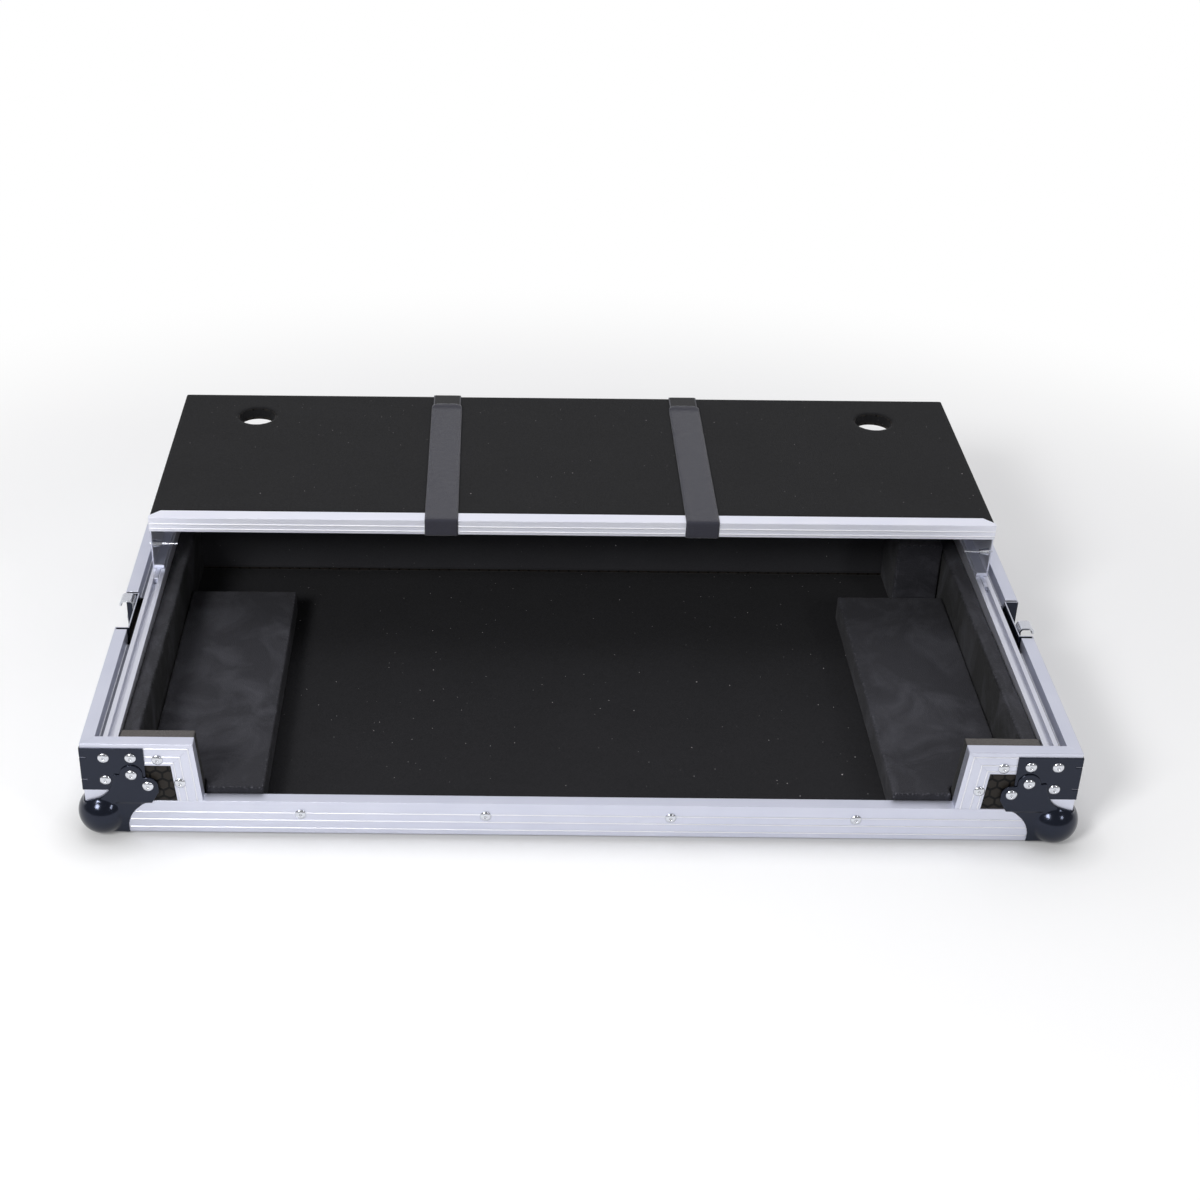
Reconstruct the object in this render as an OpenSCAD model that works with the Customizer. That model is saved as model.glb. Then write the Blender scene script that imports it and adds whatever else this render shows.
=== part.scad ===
// Flight case base for a dj controller, with a laptop shelf that glides on side rails
// Millimetres. The front face is at -Y, the shelf stands above the rear, +Z is up
// The origin lies on the floor, under the middle of the whole object

/* [Case] */
// Outer width of the case over its aluminium edges
case_w = 850; // [760:1:960]
// Outer depth of the case over its aluminium edges
case_d = 445; // [400:1:520]
// Height of the rim over the underside of the bottom edges
rim_h = 92; // [84:1:120]
// Height of the low front wall between the two posts
sill_h = 33; // [30:1:44]
// Width of each front post at the rim
post_w = 96; // [90:1:120]
// How much further each post reaches inward at the sill than at the rim
post_lean = 5.5; // [0:0.5:10]

/* [Walls] */
// Thickness of the laminated plywood
panel_t = 9; // [7:0.5:10]
// Thickness of the aluminium edges
metal_t = 1.2; // [1:0.1:1.5]
// Height of the outer leg of the rim and width of the post frames
trim_w = 22; // [18:1:26]
// Height of the inner leg of the rim
rim_inner_h = 13; // [8:1:16]
// Width of the lower leg of the bottom edges
base_leg = 25; // [20:1:30]
// Width of the two legs of the upright corner edges
corner_leg = 24; // [23:1:30]
// Radius of the raised ribs along the aluminium edges
rib_r = 0.6; // [0.4:0.1:0.8]
// Width of the groove that takes the edge of the lid
lid_groove_w = 7; // [6:0.5:9]
// Depth of the groove that takes the edge of the lid
lid_groove_h = 22; // [18:1:30]

/* [Rails] */
// Width of each slide rail
rail_w = 13; // [12:0.5:16]
// Thickness of the two cheeks that clasp the inner wall
rail_cheek_t = 2; // [1.5:0.1:2.5]
// Height of the cheeks
rail_cheek_h = 14; // [12:1:18]
// Height of the solid top of the rail
rail_top_h = 10; // [8:0.5:11]
// Width of the runner groove
runner_groove_w = 4.4; // [4:0.1:5]
// Depth of the runner groove
runner_groove_h = 5.5; // [4:0.1:6]
// Distance from the outer side of the rail to the middle of the runner groove
runner_groove_in = 6.3; // [5.5:0.1:6.5]

/* [Padding] */
// Thickness of the felt on the floor
felt_t = 2.8; // [2:0.1:4]
// Thickness of the felt on the rear wall
rear_felt_t = 3; // [2:0.1:4]
// Thickness of the foam along the sides
side_foam_t = 16; // [12:1:20]
// Thickness of the foam behind the posts
post_foam_t = 13.5; // [10:0.5:18]
// How far the top of the foam stays under the rim at the front
foam_top_drop = 4; // [2:0.5:8]
// How much lower the top of the side foam lies at the rear than at the front
foam_rear_drop = 10; // [0:1:20]
// Width of each loose foam block
block_w = 106; // [80:1:130]
// Height of each loose foam block
block_h = 27; // [20:1:40]
// Distance from the loose foam blocks to the corner pad
block_pad_gap = 21; // [5:1:60]
// Width of the corner pad
pad_w = 46; // [36:1:60]
// Length of the corner pad from front to rear
pad_l = 68; // [50:1:80]

/* [Corners] */
// Radius of each ball corner
ball_r = 18; // [17:0.5:19]
// How far each ball stands out past the three faces at its corner
ball_out = 5; // [4:0.5:6]
// Thickness of the pressed leaves of the ball corners
leaf_t = 1.2; // [1:0.1:1.5]
// Thickness of the corner braces
brace_t = 1; // [0.8:0.1:1.2]
// Length of each leaf of a corner brace
brace_w = 54; // [50:1:58]
// Height of each corner brace
brace_h = 43; // [40:1:46]

/* [Rivets] */
// Radius of the rivet heads
rivet_head_r = 4.7; // [4:0.1:5]
// Height of the rivet heads
rivet_head_h = 2; // [1.6:0.1:2.4]
// Radius of the rivet shanks
rivet_r = 2; // [1.6:0.1:2.2]
// Distance between the rivets along the front and rear edges
rivet_pitch = 160; // [130:1:180]

/* [Latches] */
// Length of the gap in the rim at each latch
latch_gap = 68; // [64:1:76]
// How far the latches stand in front of the middle of the case
latch_set = 5; // [0:1:20]
// Thickness of the pressed latch dish
dish_t = 1.2; // [1:0.1:1.4]
// Inner width of the dish
dish_w = 60; // [58:1:62]
// Depth of the dish from the outer side of the case
dish_d = 13; // [12.5:0.1:13.3]
// How far the hook rises when the wing is turned by half a turn
hook_lift = 14; // [12:0.5:14]
// Width of the hook
hook_w = 14; // [12:1:17]
// Thickness of the hook plate
hook_t = 1.8; // [1.5:0.1:2]

/* [Shelf] */
// How far the sides of the shelf stay inside the outer sides of the rails
shelf_side_in = 0.6; // [0:0.1:4]
// Depth of the laptop shelf from front to rear
shelf_d = 278; // [240:1:300]
// Thickness of the shelf with its carpet
shelf_t = 15; // [13:0.5:18]
// Height of the underside of the shelf over the rim
shelf_rise = 43; // [36:1:60]
// How far the shelf reaches over the rear of the case, at rest
shelf_overlap = 152.5; // [140:0.5:160]
// Thickness of the carpet
carpet_t = 1.5; // [1:0.1:2]
// Depth of the upper leg of the shelf's front edge
nosing_d = 15; // [12:1:20]
// Diameter of the two cable holes
cable_hole_d = 38.5; // [30:0.5:50]
// Distance from the middle of a cable hole to the side of the shelf
cable_hole_in = 81.5; // [60:0.5:120]
// Distance from the middle of a cable hole to the rear of the shelf
cable_hole_back = 52; // [40:1:90]
// Distance between the middles of the two straps
strap_pitch = 250; // [180:1:320]
// Width of the straps
strap_w = 32; // [25:1:40]
// Thickness of the straps
strap_t = 1.6; // [1.2:0.1:2.5]
// Length of the hook tape from the rear of the shelf
tape_l = 32; // [20:1:40]

/* [Brackets] */
// Thickness of the bracket's plate
bracket_t = 1.5; // [1.2:0.1:2]
// Width of the bracket's upper leg
bracket_top_w = 20; // [16:1:26]
// Width of the bracket's foot
foot_w = 11; // [10:0.5:12]
// Height of the bracket's foot
foot_h = 3.5; // [2.5:0.5:5]
// Distance from the front of the shelf to the front of the bracket
bracket_set = 3.5; // [2:0.5:8]
// How far the runner reaches in front of the bracket
runner_nose = 20; // [10:1:24]
// Length of the runner in the rail
runner_l = 156; // [120:1:156]
// Distance of the lock pin under the shelf
pin_drop = 18.5; // [16:0.5:22]
// Radius of the lock pin
pin_r = 1.25; // [1:0.05:1.5]
// How far the lock pin can be pulled
pin_travel = 6; // [4:0.5:8]

/* [Hidden] */

fine = 48;
smooth = 32;
// One overrun serves all cuts
over = 1;
// Clearance between pieces that move past each other
run_gap = 0.3;
// Clearance of a pin or shaft that turns or slides in its bore
fit_gap = 0.05;

// Walls, from the outside inwards
half_w = case_w / 2;
ply_out = half_w - metal_t;
ply_in = ply_out - panel_t;
rim_w = panel_t + 2 * metal_t;
rim_in = half_w - rim_w;
rail_out = rim_in - lid_groove_w;
rail_in = rail_out - rail_w;
inner_wall_out = rail_out - rail_cheek_t;
inner_wall_in = rail_in + rail_cheek_t;
bay_side = rail_in - side_foam_t;
wall_in = metal_t + panel_t;
rear_wall_in = case_d - wall_in;
bay_rear = rear_wall_in - rear_felt_t;
post_foam_rear = rim_w + post_foam_t;

// Levels
ply_top = rim_h - metal_t;
floor_top = wall_in;
felt_top = floor_top + felt_t;
foam_top = rim_h - foam_top_drop;
sill_top = sill_h - metal_t;

// Posts and the opening between them
open_top = half_w - post_w;
open_low = open_top - post_lean;
post_slope = post_lean / (rim_h - sill_h);
mitre = [open_at(rim_h - trim_w) + trim_w, rim_h - trim_w];
sill_lip_h = 7;

// Shares of a face's height at which the raised ribs run
edge_rib_shares = [0.15, 0.4, 0.64];
trim_rib_shares = [0.22, 0.6, 0.88];
nosing_rib_shares = [0.2, 0.55];

// Ball corners, measured from the corner of the case: along the face, then up
ball_in = ball_r - ball_out;
ball_shell = 1.4;
leaf_a = [42, 61.5];
leaf_a_r = 10;
leaf_b = [55.5, 50];
leaf_b_r = 9;
leaf_hip = [65, 44];
leaf_cut = [-1.8, 61];
leaf_cut_r = 28;
skirt_w = 58;
skirt_cut = [66.4, 4.2];
skirt_cut_r = 30;
under_leaf_r = 37;
ball_reach = ball_in + ball_r + over;

// Corner braces
brace_top_gap = 3;
brace_low = ply_top - brace_top_gap - brace_h;
brace_hole_in = 19.5;
brace_hole_pitch = 23;
brace_hole_down = 9.5;
brace_hole_z = ply_top - brace_top_gap - brace_hole_down;
brace_slit_l = 4.5;
brace_slit_h = 1.2;

// Rivets
shank_l = 8;
edge_rivet_z = 20;
rim_rivet_z = rim_h - trim_w / 2;
long_rivet_x = [for (i = [-1.5:1:1.5]) i * rivet_pitch];
side_rivet_y = [for (i = [1:3]) case_d * i / 4];
rim_rivet_in = 95;
post_rivet_in = 65;
post_rivet_down = 16;
low_rivet_in = 18.5;
low_rivet_down = 40;
post_rivet_places = [
    [half_w - post_rivet_in, rim_h - post_rivet_down],
    [open_low + low_rivet_in, rim_h - low_rivet_down]];

// Latches: u runs along the side from the middle of the dish
latch_y = case_d / 2 - latch_set;
dish_back = half_w - dish_d;
dish_floor = dish_back + dish_t;
dish_low = 40;
dish_half = dish_w / 2 + dish_t;
dish_flange_half = 42;
dish_flange_gap = 1.5;
dish_flange_low = sill_h + dish_flange_gap;
dish_flange_top = rim_h - trim_w - run_gap;
dish_neck_half = latch_gap / 2 - run_gap;
dish_rivet_u = 37;
dish_rivet_z = [44, 62];
layer_gap = 0.4;
spindle_z = 62;
spindle_r = 3;
cam_r = 10;
cam_t = 2.2;
crank_r = hook_lift / 2;
crank_pin_r = 2;
// Room above and below the crank pin, because its height follows an arc
crank_slack = 1.9;
hook_in = dish_floor + layer_gap;
hook_out = hook_in + hook_t;
hook_floor_gap = 1;
hook_low = dish_low + dish_t + hook_floor_gap;
hook_half = dish_w / 2 - run_gap;
hook_body_rise = 12;
hook_window_half = 10;
hook_set = 10;
claw_side_gap = 0.8;
claw_lip = 1.5;
claw_rise = 2.5;
claw_r = 4.5;
cam_in = hook_out + layer_gap;
cam_out = cam_in + cam_t;
boss_half = 3.5;
boss_rise = 2.5;
wing_t = 2;
wing_lobe_r = 7;
wing_lobe_u = 9.5;
wing_lobe_drop = 8;
knuckle_r = 1.9;
knuckle_l = 5;
wing_pin_r = 1;
hinge_x = cam_out + layer_gap + knuckle_r;
knuckle_in = boss_half + run_gap;
knuckle_out = knuckle_in + knuckle_l;

// Laptop shelf
shelf_low = rim_h + shelf_rise;
shelf_top = shelf_low + shelf_t;
shelf_front = case_d - shelf_overlap;
shelf_rear = shelf_front + shelf_d;
shelf_half = rail_out - shelf_side_in;
board_half = shelf_half - carpet_t;
nosing_t = 1.5;
board_low = shelf_low + nosing_t;
board_top = shelf_top - carpet_t;
nosing_chamfer = 10;
nosing_leg = 10;
cable_hole_x = shelf_half - cable_hole_in;
cable_hole_y = shelf_rear - cable_hole_back;
strap_under = 28;
tape_front = shelf_rear - tape_l;
tape_margin = 1.5;
tape_w = strap_w - 2 * tape_margin;
tape_t = 1;

// Brackets, runners and lock pins under the shelf
bracket_front = shelf_front + bracket_set;
bracket_rear = shelf_rear - bracket_set;
foot_z = rim_h + run_gap;
runner_w = runner_groove_w - 2 * run_gap;
runner_x = rail_out - runner_groove_in;
runner_front = bracket_front - runner_nose;
runner_low = rim_h - runner_groove_h + run_gap;
pin_set = 6;
pin_y = bracket_front + pin_set;
pin_z = shelf_low - pin_drop;
pin_l = 27;
pin_bore_r = pin_r + fit_gap;
pin_nose = 2;
sleeve_l = 8.5;
sleeve_r = 4.4;
sleeve_tip_r = 2.3;
screw_r = 1.75;
screw_head_r = 3.5;
screw_head_h = 2;
screw_l = 9;
screw_set = 20;
screw_count = 4;

// The object rests on its ball corners, with its origin under its middle
middle_y = (shelf_rear - ball_out) / 2;

edge_colour = "silver";
ply_colour = [0.09, 0.09, 0.1];
foam_colour = [0.16, 0.16, 0.17];
felt_colour = [0.05, 0.05, 0.05];
wood_colour = [0.3, 0.25, 0.2];
black_steel = [0.12, 0.12, 0.15];
bright_steel = [0.8, 0.8, 0.82];
strap_colour = [0.29, 0.29, 0.33];

// Puts a piece from the case's own frame into the frame of the whole object
module placed() {
    translate([0, -middle_y, ball_out]) children();
}

// Draws a piece of the right side, or its mirror image on the left
module on_side(side) {
    mirror([side < 0 ? 1 : 0, 0, 0]) children();
}

// A block between two opposite corners
module block(low, high) {
    translate(low) cube(high - low);
}

// Extrudes a section drawn in Y and Z along X
module along_x(from, to) {
    translate([from, 0, 0]) rotate([90, 0, 90]) linear_extrude(to - from) children();
}

// Extrudes a section drawn in X and Z along Y
module along_y(from, to) {
    translate([0, to, 0]) rotate([90, 0, 0]) linear_extrude(to - from) children();
}

// The outer faces of the case, each with the child's Z pointing out of it
module on_front(x, z, lift) {
    translate([x, -lift, z]) rotate([90, 0, 0]) children();
}

module on_rear(x, z, lift) {
    translate([x, case_d + lift, z]) rotate([-90, 0, 0]) children();
}

module on_right(y, z, lift) {
    translate([half_w + lift, y, z]) rotate([0, 90, 0]) children();
}

module on_left(y, z, lift) {
    translate([-half_w - lift, y, z]) rotate([0, -90, 0]) children();
}

// Carries what is drawn at the front right corner to all four corners
module at_corners() {
    for (side = [-1, 1]) {
        on_side(side) children();
        on_side(side) at_rear() children();
    }
}

// The corner of the case and of the plates on it, where only the ball itself stays
module corner_room() {
    block([half_w - ball_in, -ball_out, -ball_out], [half_w + ball_out, ball_in, ball_in]);
}

module ball(r) {
    translate([half_w - ball_in, ball_in, ball_in]) rotate([0, 0, 135]) sphere(r, $fn = fine);
}

// Rounds a corner of the case off under its ball
module corner_cut() {
    difference() {
        corner_room();
        ball(ball_r - ball_shell);
    }
}

// Rivets: the shank lies below the surface and the head stands on it
module rivet(lift) {
    dome_r = (pow(rivet_head_r, 2) + pow(rivet_head_h, 2)) / (2 * rivet_head_h);
    intersection() {
        translate([0, 0, rivet_head_h - dome_r]) sphere(dome_r, $fn = fine);
        cylinder(r = rivet_head_r, h = rivet_head_h, $fn = fine);
    }
    translate([0, 0, -shank_l - lift]) cylinder(r = rivet_r, h = shank_l + lift, $fn = fine);
}

// The hole for a shank, with room for the head among the raised ribs
module rivet_hole(lift) {
    depth = shank_l + lift;
    translate([0, 0, -depth]) cylinder(r = rivet_r, h = depth + over, $fn = fine);
    cylinder(r = rivet_head_r, h = over, $fn = fine);
}

// Either a rivet or the hole for it
module rivet_or_hole(hole, lift) {
    if (hole) {
        rivet_hole(lift);
    } else {
        rivet(lift);
    }
}

module front_edge_rivets(hole) {
    for (x = long_rivet_x) on_front(x, edge_rivet_z, 0) rivet_or_hole(hole, 0);
}

module rear_edge_rivets(hole) {
    for (x = long_rivet_x) {
        on_rear(x, edge_rivet_z, 0) rivet_or_hole(hole, 0);
        on_rear(x, rim_rivet_z, 0) rivet_or_hole(hole, 0);
    }
}

module side_edge_rivets(hole) {
    for (y = side_rivet_y) {
        on_right(y, edge_rivet_z, 0) rivet_or_hole(hole, 0);
        on_left(y, edge_rivet_z, 0) rivet_or_hole(hole, 0);
    }
    for (y = [rim_rivet_in, case_d - rim_rivet_in]) {
        on_right(y, rim_rivet_z, 0) rivet_or_hole(hole, 0);
        on_left(y, rim_rivet_z, 0) rivet_or_hole(hole, 0);
    }
}

module post_rivets(hole) {
    for (side = [-1, 1]) {
        on_side(side) for (p = post_rivet_places) on_front(p[0], p[1], 0) rivet_or_hole(hole, 0);
    }
}

module dish_rivets(hole) {
    for (u = [-dish_rivet_u, dish_rivet_u], z = dish_rivet_z) {
        on_right(latch_y + u, z, 0) rivet_or_hole(hole, 0);
        on_left(latch_y + u, z, 0) rivet_or_hole(hole, 0);
    }
}

// Rivets of one brace and one ball corner on the two faces of the front right corner
module one_corner_rivets(hole) {
    brace_holes = [
        [brace_hole_in, brace_hole_z],
        [brace_hole_in + brace_hole_pitch, brace_hole_z],
        [brace_hole_in, brace_hole_z - brace_hole_pitch]];
    for (p = brace_holes) {
        on_front(half_w - p[0], p[1], brace_t) rivet_or_hole(hole, brace_t);
        on_right(p[0], p[1], brace_t) rivet_or_hole(hole, brace_t);
    }
    for (p = [leaf_a, leaf_b]) {
        on_front(half_w - p[0], p[1], brace_t + leaf_t) rivet_or_hole(hole, brace_t + leaf_t);
        on_right(p[0], p[1], brace_t + leaf_t) rivet_or_hole(hole, brace_t + leaf_t);
    }
}

// All holes that the rivets of the faces need
module rivet_holes() {
    front_edge_rivets(true);
    rear_edge_rivets(true);
    side_edge_rivets(true);
    post_rivets(true);
    dish_rivets(true);
    at_corners() one_corner_rivets(true);
}

// Half width of the opening between the posts at a height
function open_at(z) = open_low + post_slope * (z - sill_h);

// A raised rib along X, between two places
module rib_x(from, to, y, z) {
    translate([from, y, z]) rotate([0, 90, 0]) cylinder(r = rib_r, h = to - from, $fn = smooth);
}

// A raised rib along Y, between two places
module rib_y(from, to, x, z) {
    translate([x, to, z]) rotate([90, 0, 0]) cylinder(r = rib_r, h = to - from, $fn = smooth);
}

// Outline of the ball corner's skirt on one face: distance from the corner, then height
module skirt_outline() {
    difference() {
        translate([-leaf_t, -leaf_t]) square([skirt_w + leaf_t, sill_h + leaf_t]);
        translate(skirt_cut) circle(skirt_cut_r, $fn = fine);
    }
}

// Outline of the leaf that rises over the brace, with a lobe for each of its two rivets
module leaf_outline() {
    difference() {
        union() {
            translate(leaf_a) circle(leaf_a_r, $fn = fine);
            translate(leaf_b) circle(leaf_b_r, $fn = fine);
            polygon([
                [0, sill_h - leaf_t], [skirt_w, sill_h - leaf_t], leaf_hip,
                [leaf_b[0] + leaf_b_r, leaf_b[1]], leaf_b, leaf_a,
                [leaf_a[0] - leaf_a_r, leaf_a[1]], [0, leaf_a[1]]]);
        }
        translate(leaf_cut) circle(leaf_cut_r, $fn = fine);
    }
}

// Carries an outline drawn on a face to the front of the right corner, or to its side
module on_corner_front(low, high) {
    translate([half_w, -low, 0]) rotate([90, 0, 0]) mirror([1, 0, 0])
        linear_extrude(high - low) children();
}

module on_corner_side(low, high) {
    translate([half_w + low, 0, 0]) rotate([90, 0, 90]) linear_extrude(high - low) children();
}

// Leaves the ribs off where the skirts of the ball corners lie
module clear_of_skirts() {
    difference() {
        children();
        at_corners() {
            on_corner_front(0, over) skirt_outline();
            on_corner_side(0, over) skirt_outline();
        }
    }
}

// Plan of one lower leg of the bottom edges, mitred at both ends
module lower_leg(length) {
    linear_extrude(metal_t) polygon([
        [-length / 2, 0], [length / 2, 0],
        [length / 2 - base_leg, base_leg], [-length / 2 + base_leg, base_leg]]);
}

// Bottom edge along the front or the rear, drawn at the front
module long_edge() {
    block([-half_w, 0, 0], [half_w, metal_t, sill_h]);
    lower_leg(case_w);
    clear_of_skirts() for (share = edge_rib_shares) rib_x(-half_w, half_w, 0, share * sill_h);
}

// Bottom edge along the right side
module side_edge() {
    block([ply_out, metal_t, 0], [half_w, case_d - metal_t, sill_h]);
    translate([half_w, case_d / 2, 0]) rotate([0, 0, 90]) lower_leg(case_d);
    clear_of_skirts() for (share = edge_rib_shares)
        rib_y(metal_t, case_d - metal_t, half_w, share * sill_h);
}

module bored_and_rounded() {
    difference() {
        children();
        at_corners() corner_cut();
        rivet_holes();
    }
}

// Room for the latch dish in the side wall
module dish_room() {
    block([dish_back, latch_y - dish_half, dish_low],
        [half_w + over, latch_y + dish_half, rim_h + over]);
}

module side_panel(side) {
    bored_and_rounded() on_side(side) difference() {
        block([ply_in, metal_t, metal_t], [ply_out, case_d - metal_t, ply_top]);
        dish_room();
    }
}

module floor_panel() {
    color(wood_colour) placed()
        block([-ply_in, wall_in, metal_t], [ply_in, rear_wall_in, floor_top]);
}

module front_panel() {
    color(ply_colour) placed() bored_and_rounded() along_y(metal_t, wall_in) polygon([
        [-ply_in, metal_t], [ply_in, metal_t], [ply_in, ply_top],
        [open_at(ply_top) + metal_t, ply_top], [open_at(sill_top) + metal_t, sill_top],
        [-open_at(sill_top) - metal_t, sill_top], [-open_at(ply_top) - metal_t, ply_top],
        [-ply_in, ply_top]]);
}

module rear_panel() {
    color(ply_colour) placed() bored_and_rounded()
        block([-ply_in, rear_wall_in, metal_t], [ply_in, case_d - metal_t, ply_top]);
}

module left_panel() {
    color(ply_colour) placed() side_panel(-1);
}

module right_panel() {
    color(ply_colour) placed() side_panel(1);
}

// The front edge also caps the low wall between the posts
module front_edge() {
    color(edge_colour) placed() bored_and_rounded() {
        long_edge();
        along_y(0, rim_w) polygon([
            [-open_at(sill_top) - metal_t, sill_top], [open_at(sill_top) + metal_t, sill_top],
            [open_low + metal_t, sill_h], [-open_low - metal_t, sill_h]]);
        block([-open_low, wall_in, sill_h - sill_lip_h], [open_low, rim_w, sill_h]);
    }
}

module rear_edge() {
    color(edge_colour) placed() bored_and_rounded()
        at_rear() long_edge();
}

module left_edge() {
    color(edge_colour) placed() bored_and_rounded() on_side(-1) side_edge();
}

module right_edge() {
    color(edge_colour) placed() bored_and_rounded() on_side(1) side_edge();
}

// Faces of the post frame, which meet in a mitre
module post_top_face() {
    polygon([[open_top, rim_h], [half_w, rim_h], [half_w, rim_h - trim_w], mitre]);
}

module post_side_face() {
    mitre_slope = (mitre[0] - open_top) / trim_w;
    polygon([
        [open_at(ply_top), ply_top], [open_top + mitre_slope * metal_t, ply_top], mitre,
        [open_low + trim_w, sill_h], [open_low, sill_h]]);
}

// Caps the top of the right post
module post_top_trim() {
    along_y(0, metal_t) post_top_face();
    intersection() {
        for (share = trim_rib_shares)
            rib_x(open_top, half_w - brace_w, 0, rim_h - share * trim_w);
        along_y(-over, metal_t) post_top_face();
    }
    translate([0, 0, ply_top]) linear_extrude(metal_t) polygon([
        [open_top, 0], [half_w, 0], [half_w, metal_t], [ply_out, metal_t],
        [rim_in, rim_w], [open_top, rim_w]]);
    block([open_top + metal_t, wall_in, rim_h - rim_inner_h], [rim_in, rim_w, rim_h]);
}

// Caps the leaning side of the right post
module post_side_trim() {
    lean = atan(post_slope);
    along_y(0, metal_t) post_side_face();
    intersection() {
        for (share = trim_rib_shares)
            translate([open_low + share * trim_w - over * post_slope, 0, sill_h - over])
                rotate([0, lean, 0]) cylinder(r = rib_r, h = rim_h, $fn = smooth);
        along_y(-over, metal_t) post_side_face();
    }
    along_y(0, rim_w) polygon([
        [open_low, sill_h], [open_low + metal_t, sill_h],
        [open_at(ply_top) + metal_t, ply_top], [open_at(ply_top), ply_top]]);
    leg_top = rim_h - rim_inner_h;
    along_y(wall_in, rim_w) polygon([
        [open_low, sill_h], [open_low + rim_inner_h, sill_h],
        [open_at(leg_top) + rim_inner_h, leg_top], [open_at(leg_top), leg_top]]);
}

module left_post_top_trim() {
    color(edge_colour) placed() bored_and_rounded() on_side(-1) post_top_trim();
}

module right_post_top_trim() {
    color(edge_colour) placed() bored_and_rounded() on_side(1) post_top_trim();
}

module left_post_side_trim() {
    color(edge_colour) placed() bored_and_rounded() on_side(-1) post_side_trim();
}

module right_post_side_trim() {
    color(edge_colour) placed() bored_and_rounded() on_side(1) post_side_trim();
}

// Rim of the right side, from the front corner to the gap at the latch
module side_rim(rim_end) {
    block([ply_out, metal_t, rim_h - trim_w], [half_w, rim_end, rim_h]);
    translate([0, 0, ply_top]) linear_extrude(metal_t) polygon([
        [half_w, metal_t], [half_w, rim_end], [rim_in, rim_end], [rim_in, rim_w],
        [ply_out, metal_t]]);
    block([rim_in, rim_w, rim_h - rim_inner_h], [ply_in, rim_end, rim_h]);
    for (share = trim_rib_shares) rib_y(brace_w, rim_end, half_w, rim_h - share * trim_w);
}

module front_rim() {
    side_rim(latch_y - latch_gap / 2);
}

// Carries what is drawn at the front to the rear
module at_rear() {
    translate([0, case_d, 0]) mirror([0, 1, 0]) children();
}

module back_rim() {
    at_rear() side_rim(case_d - latch_y - latch_gap / 2);
}

module left_rim_front() {
    color(edge_colour) placed() bored_and_rounded() on_side(-1) front_rim();
}

module left_rim_rear() {
    color(edge_colour) placed() bored_and_rounded() on_side(-1) back_rim();
}

module right_rim_front() {
    color(edge_colour) placed() bored_and_rounded() front_rim();
}

module right_rim_rear() {
    color(edge_colour) placed() bored_and_rounded() back_rim();
}

module rear_rim() {
    color(edge_colour) placed() bored_and_rounded() at_rear() {
        block([-half_w, 0, rim_h - trim_w], [half_w, metal_t, rim_h]);
        translate([0, 0, ply_top]) linear_extrude(metal_t) polygon([
            [-half_w, 0], [half_w, 0], [half_w, metal_t], [ply_out, metal_t],
            [rim_in, rim_w], [-rim_in, rim_w], [-ply_out, metal_t], [-half_w, metal_t]]);
        block([-rim_in, wall_in, rim_h - rim_inner_h], [rim_in, rim_w, rim_h]);
        for (share = trim_rib_shares)
            rib_x(-half_w + brace_w, half_w - brace_w, 0, rim_h - share * trim_w);
    }
}

// Upright angles on the four corners, between the bottom edges and the rims
module corner_edges() {
    color(edge_colour) placed() bored_and_rounded() at_corners() {
        block([half_w - corner_leg, 0, sill_h], [half_w, metal_t, rim_h - trim_w]);
        block([ply_out, metal_t, sill_h], [half_w, corner_leg, rim_h - trim_w]);
    }
}

// Fills the space between the side wall and the inner wall, up to the lid's groove
module batten(side) {
    on_side(side) difference() {
        block([inner_wall_out, wall_in, floor_top], [ply_in, rear_wall_in, rim_h - lid_groove_h]);
        dish_room();
    }
}

module battens() {
    color(wood_colour) placed() for (side = [-1, 1]) batten(side);
}

// Carries the slide rail
module inner_wall(side) {
    on_side(side) block(
        [inner_wall_in, rim_w, floor_top], [inner_wall_out, case_d - rim_w, rim_h - rail_top_h]);
}

module left_inner_wall() {
    color(wood_colour) placed() inner_wall(-1);
}

module right_inner_wall() {
    color(wood_colour) placed() inner_wall(1);
}

// Clasps the top of the inner wall and guides the shelf's runner in its groove
module rail(side) {
    cheek_low = rim_h - rail_cheek_h;
    seat = rim_h - rail_top_h;
    groove_low = rim_h - runner_groove_h;
    groove_half = runner_groove_w / 2;
    on_side(side) along_y(rim_w, case_d - rim_w) polygon([
        [rail_out, cheek_low], [rail_out, rim_h],
        [runner_x + groove_half, rim_h], [runner_x + groove_half, groove_low],
        [runner_x - groove_half, groove_low], [runner_x - groove_half, rim_h],
        [rail_in, rim_h], [rail_in, cheek_low], [inner_wall_in, cheek_low],
        [inner_wall_in, seat], [inner_wall_out, seat], [inner_wall_out, cheek_low]]);
}

module left_rail() {
    color(edge_colour) placed() rail(-1);
}

module right_rail() {
    color(edge_colour) placed() rail(1);
}

module floor_felt() {
    color(felt_colour) placed()
        block([-inner_wall_in, wall_in, floor_top], [inner_wall_in, rear_wall_in, felt_top]);
}

module rear_felt() {
    color(felt_colour) placed() block(
        [-inner_wall_in, bay_rear, felt_top],
        [inner_wall_in, rear_wall_in, rim_h - max(rim_inner_h, rail_cheek_h)]);
}

// Keeps the foam clear of the rail's inner cheek
module cheek_room(side) {
    on_side(side)
        block([rail_in, 0, rim_h - rail_cheek_h], [inner_wall_in + over, case_d, rim_h + over]);
}

module side_foam(side) {
    difference() {
        on_side(side) along_x(bay_side, inner_wall_in) polygon([
            [post_foam_rear, felt_top], [bay_rear, felt_top],
            [bay_rear, foam_top - foam_rear_drop], [post_foam_rear, foam_top]]);
        cheek_room(side);
    }
}

module left_side_foam() {
    color(foam_colour) placed() side_foam(-1);
}

module right_side_foam() {
    color(foam_colour) placed() side_foam(1);
}

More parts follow.
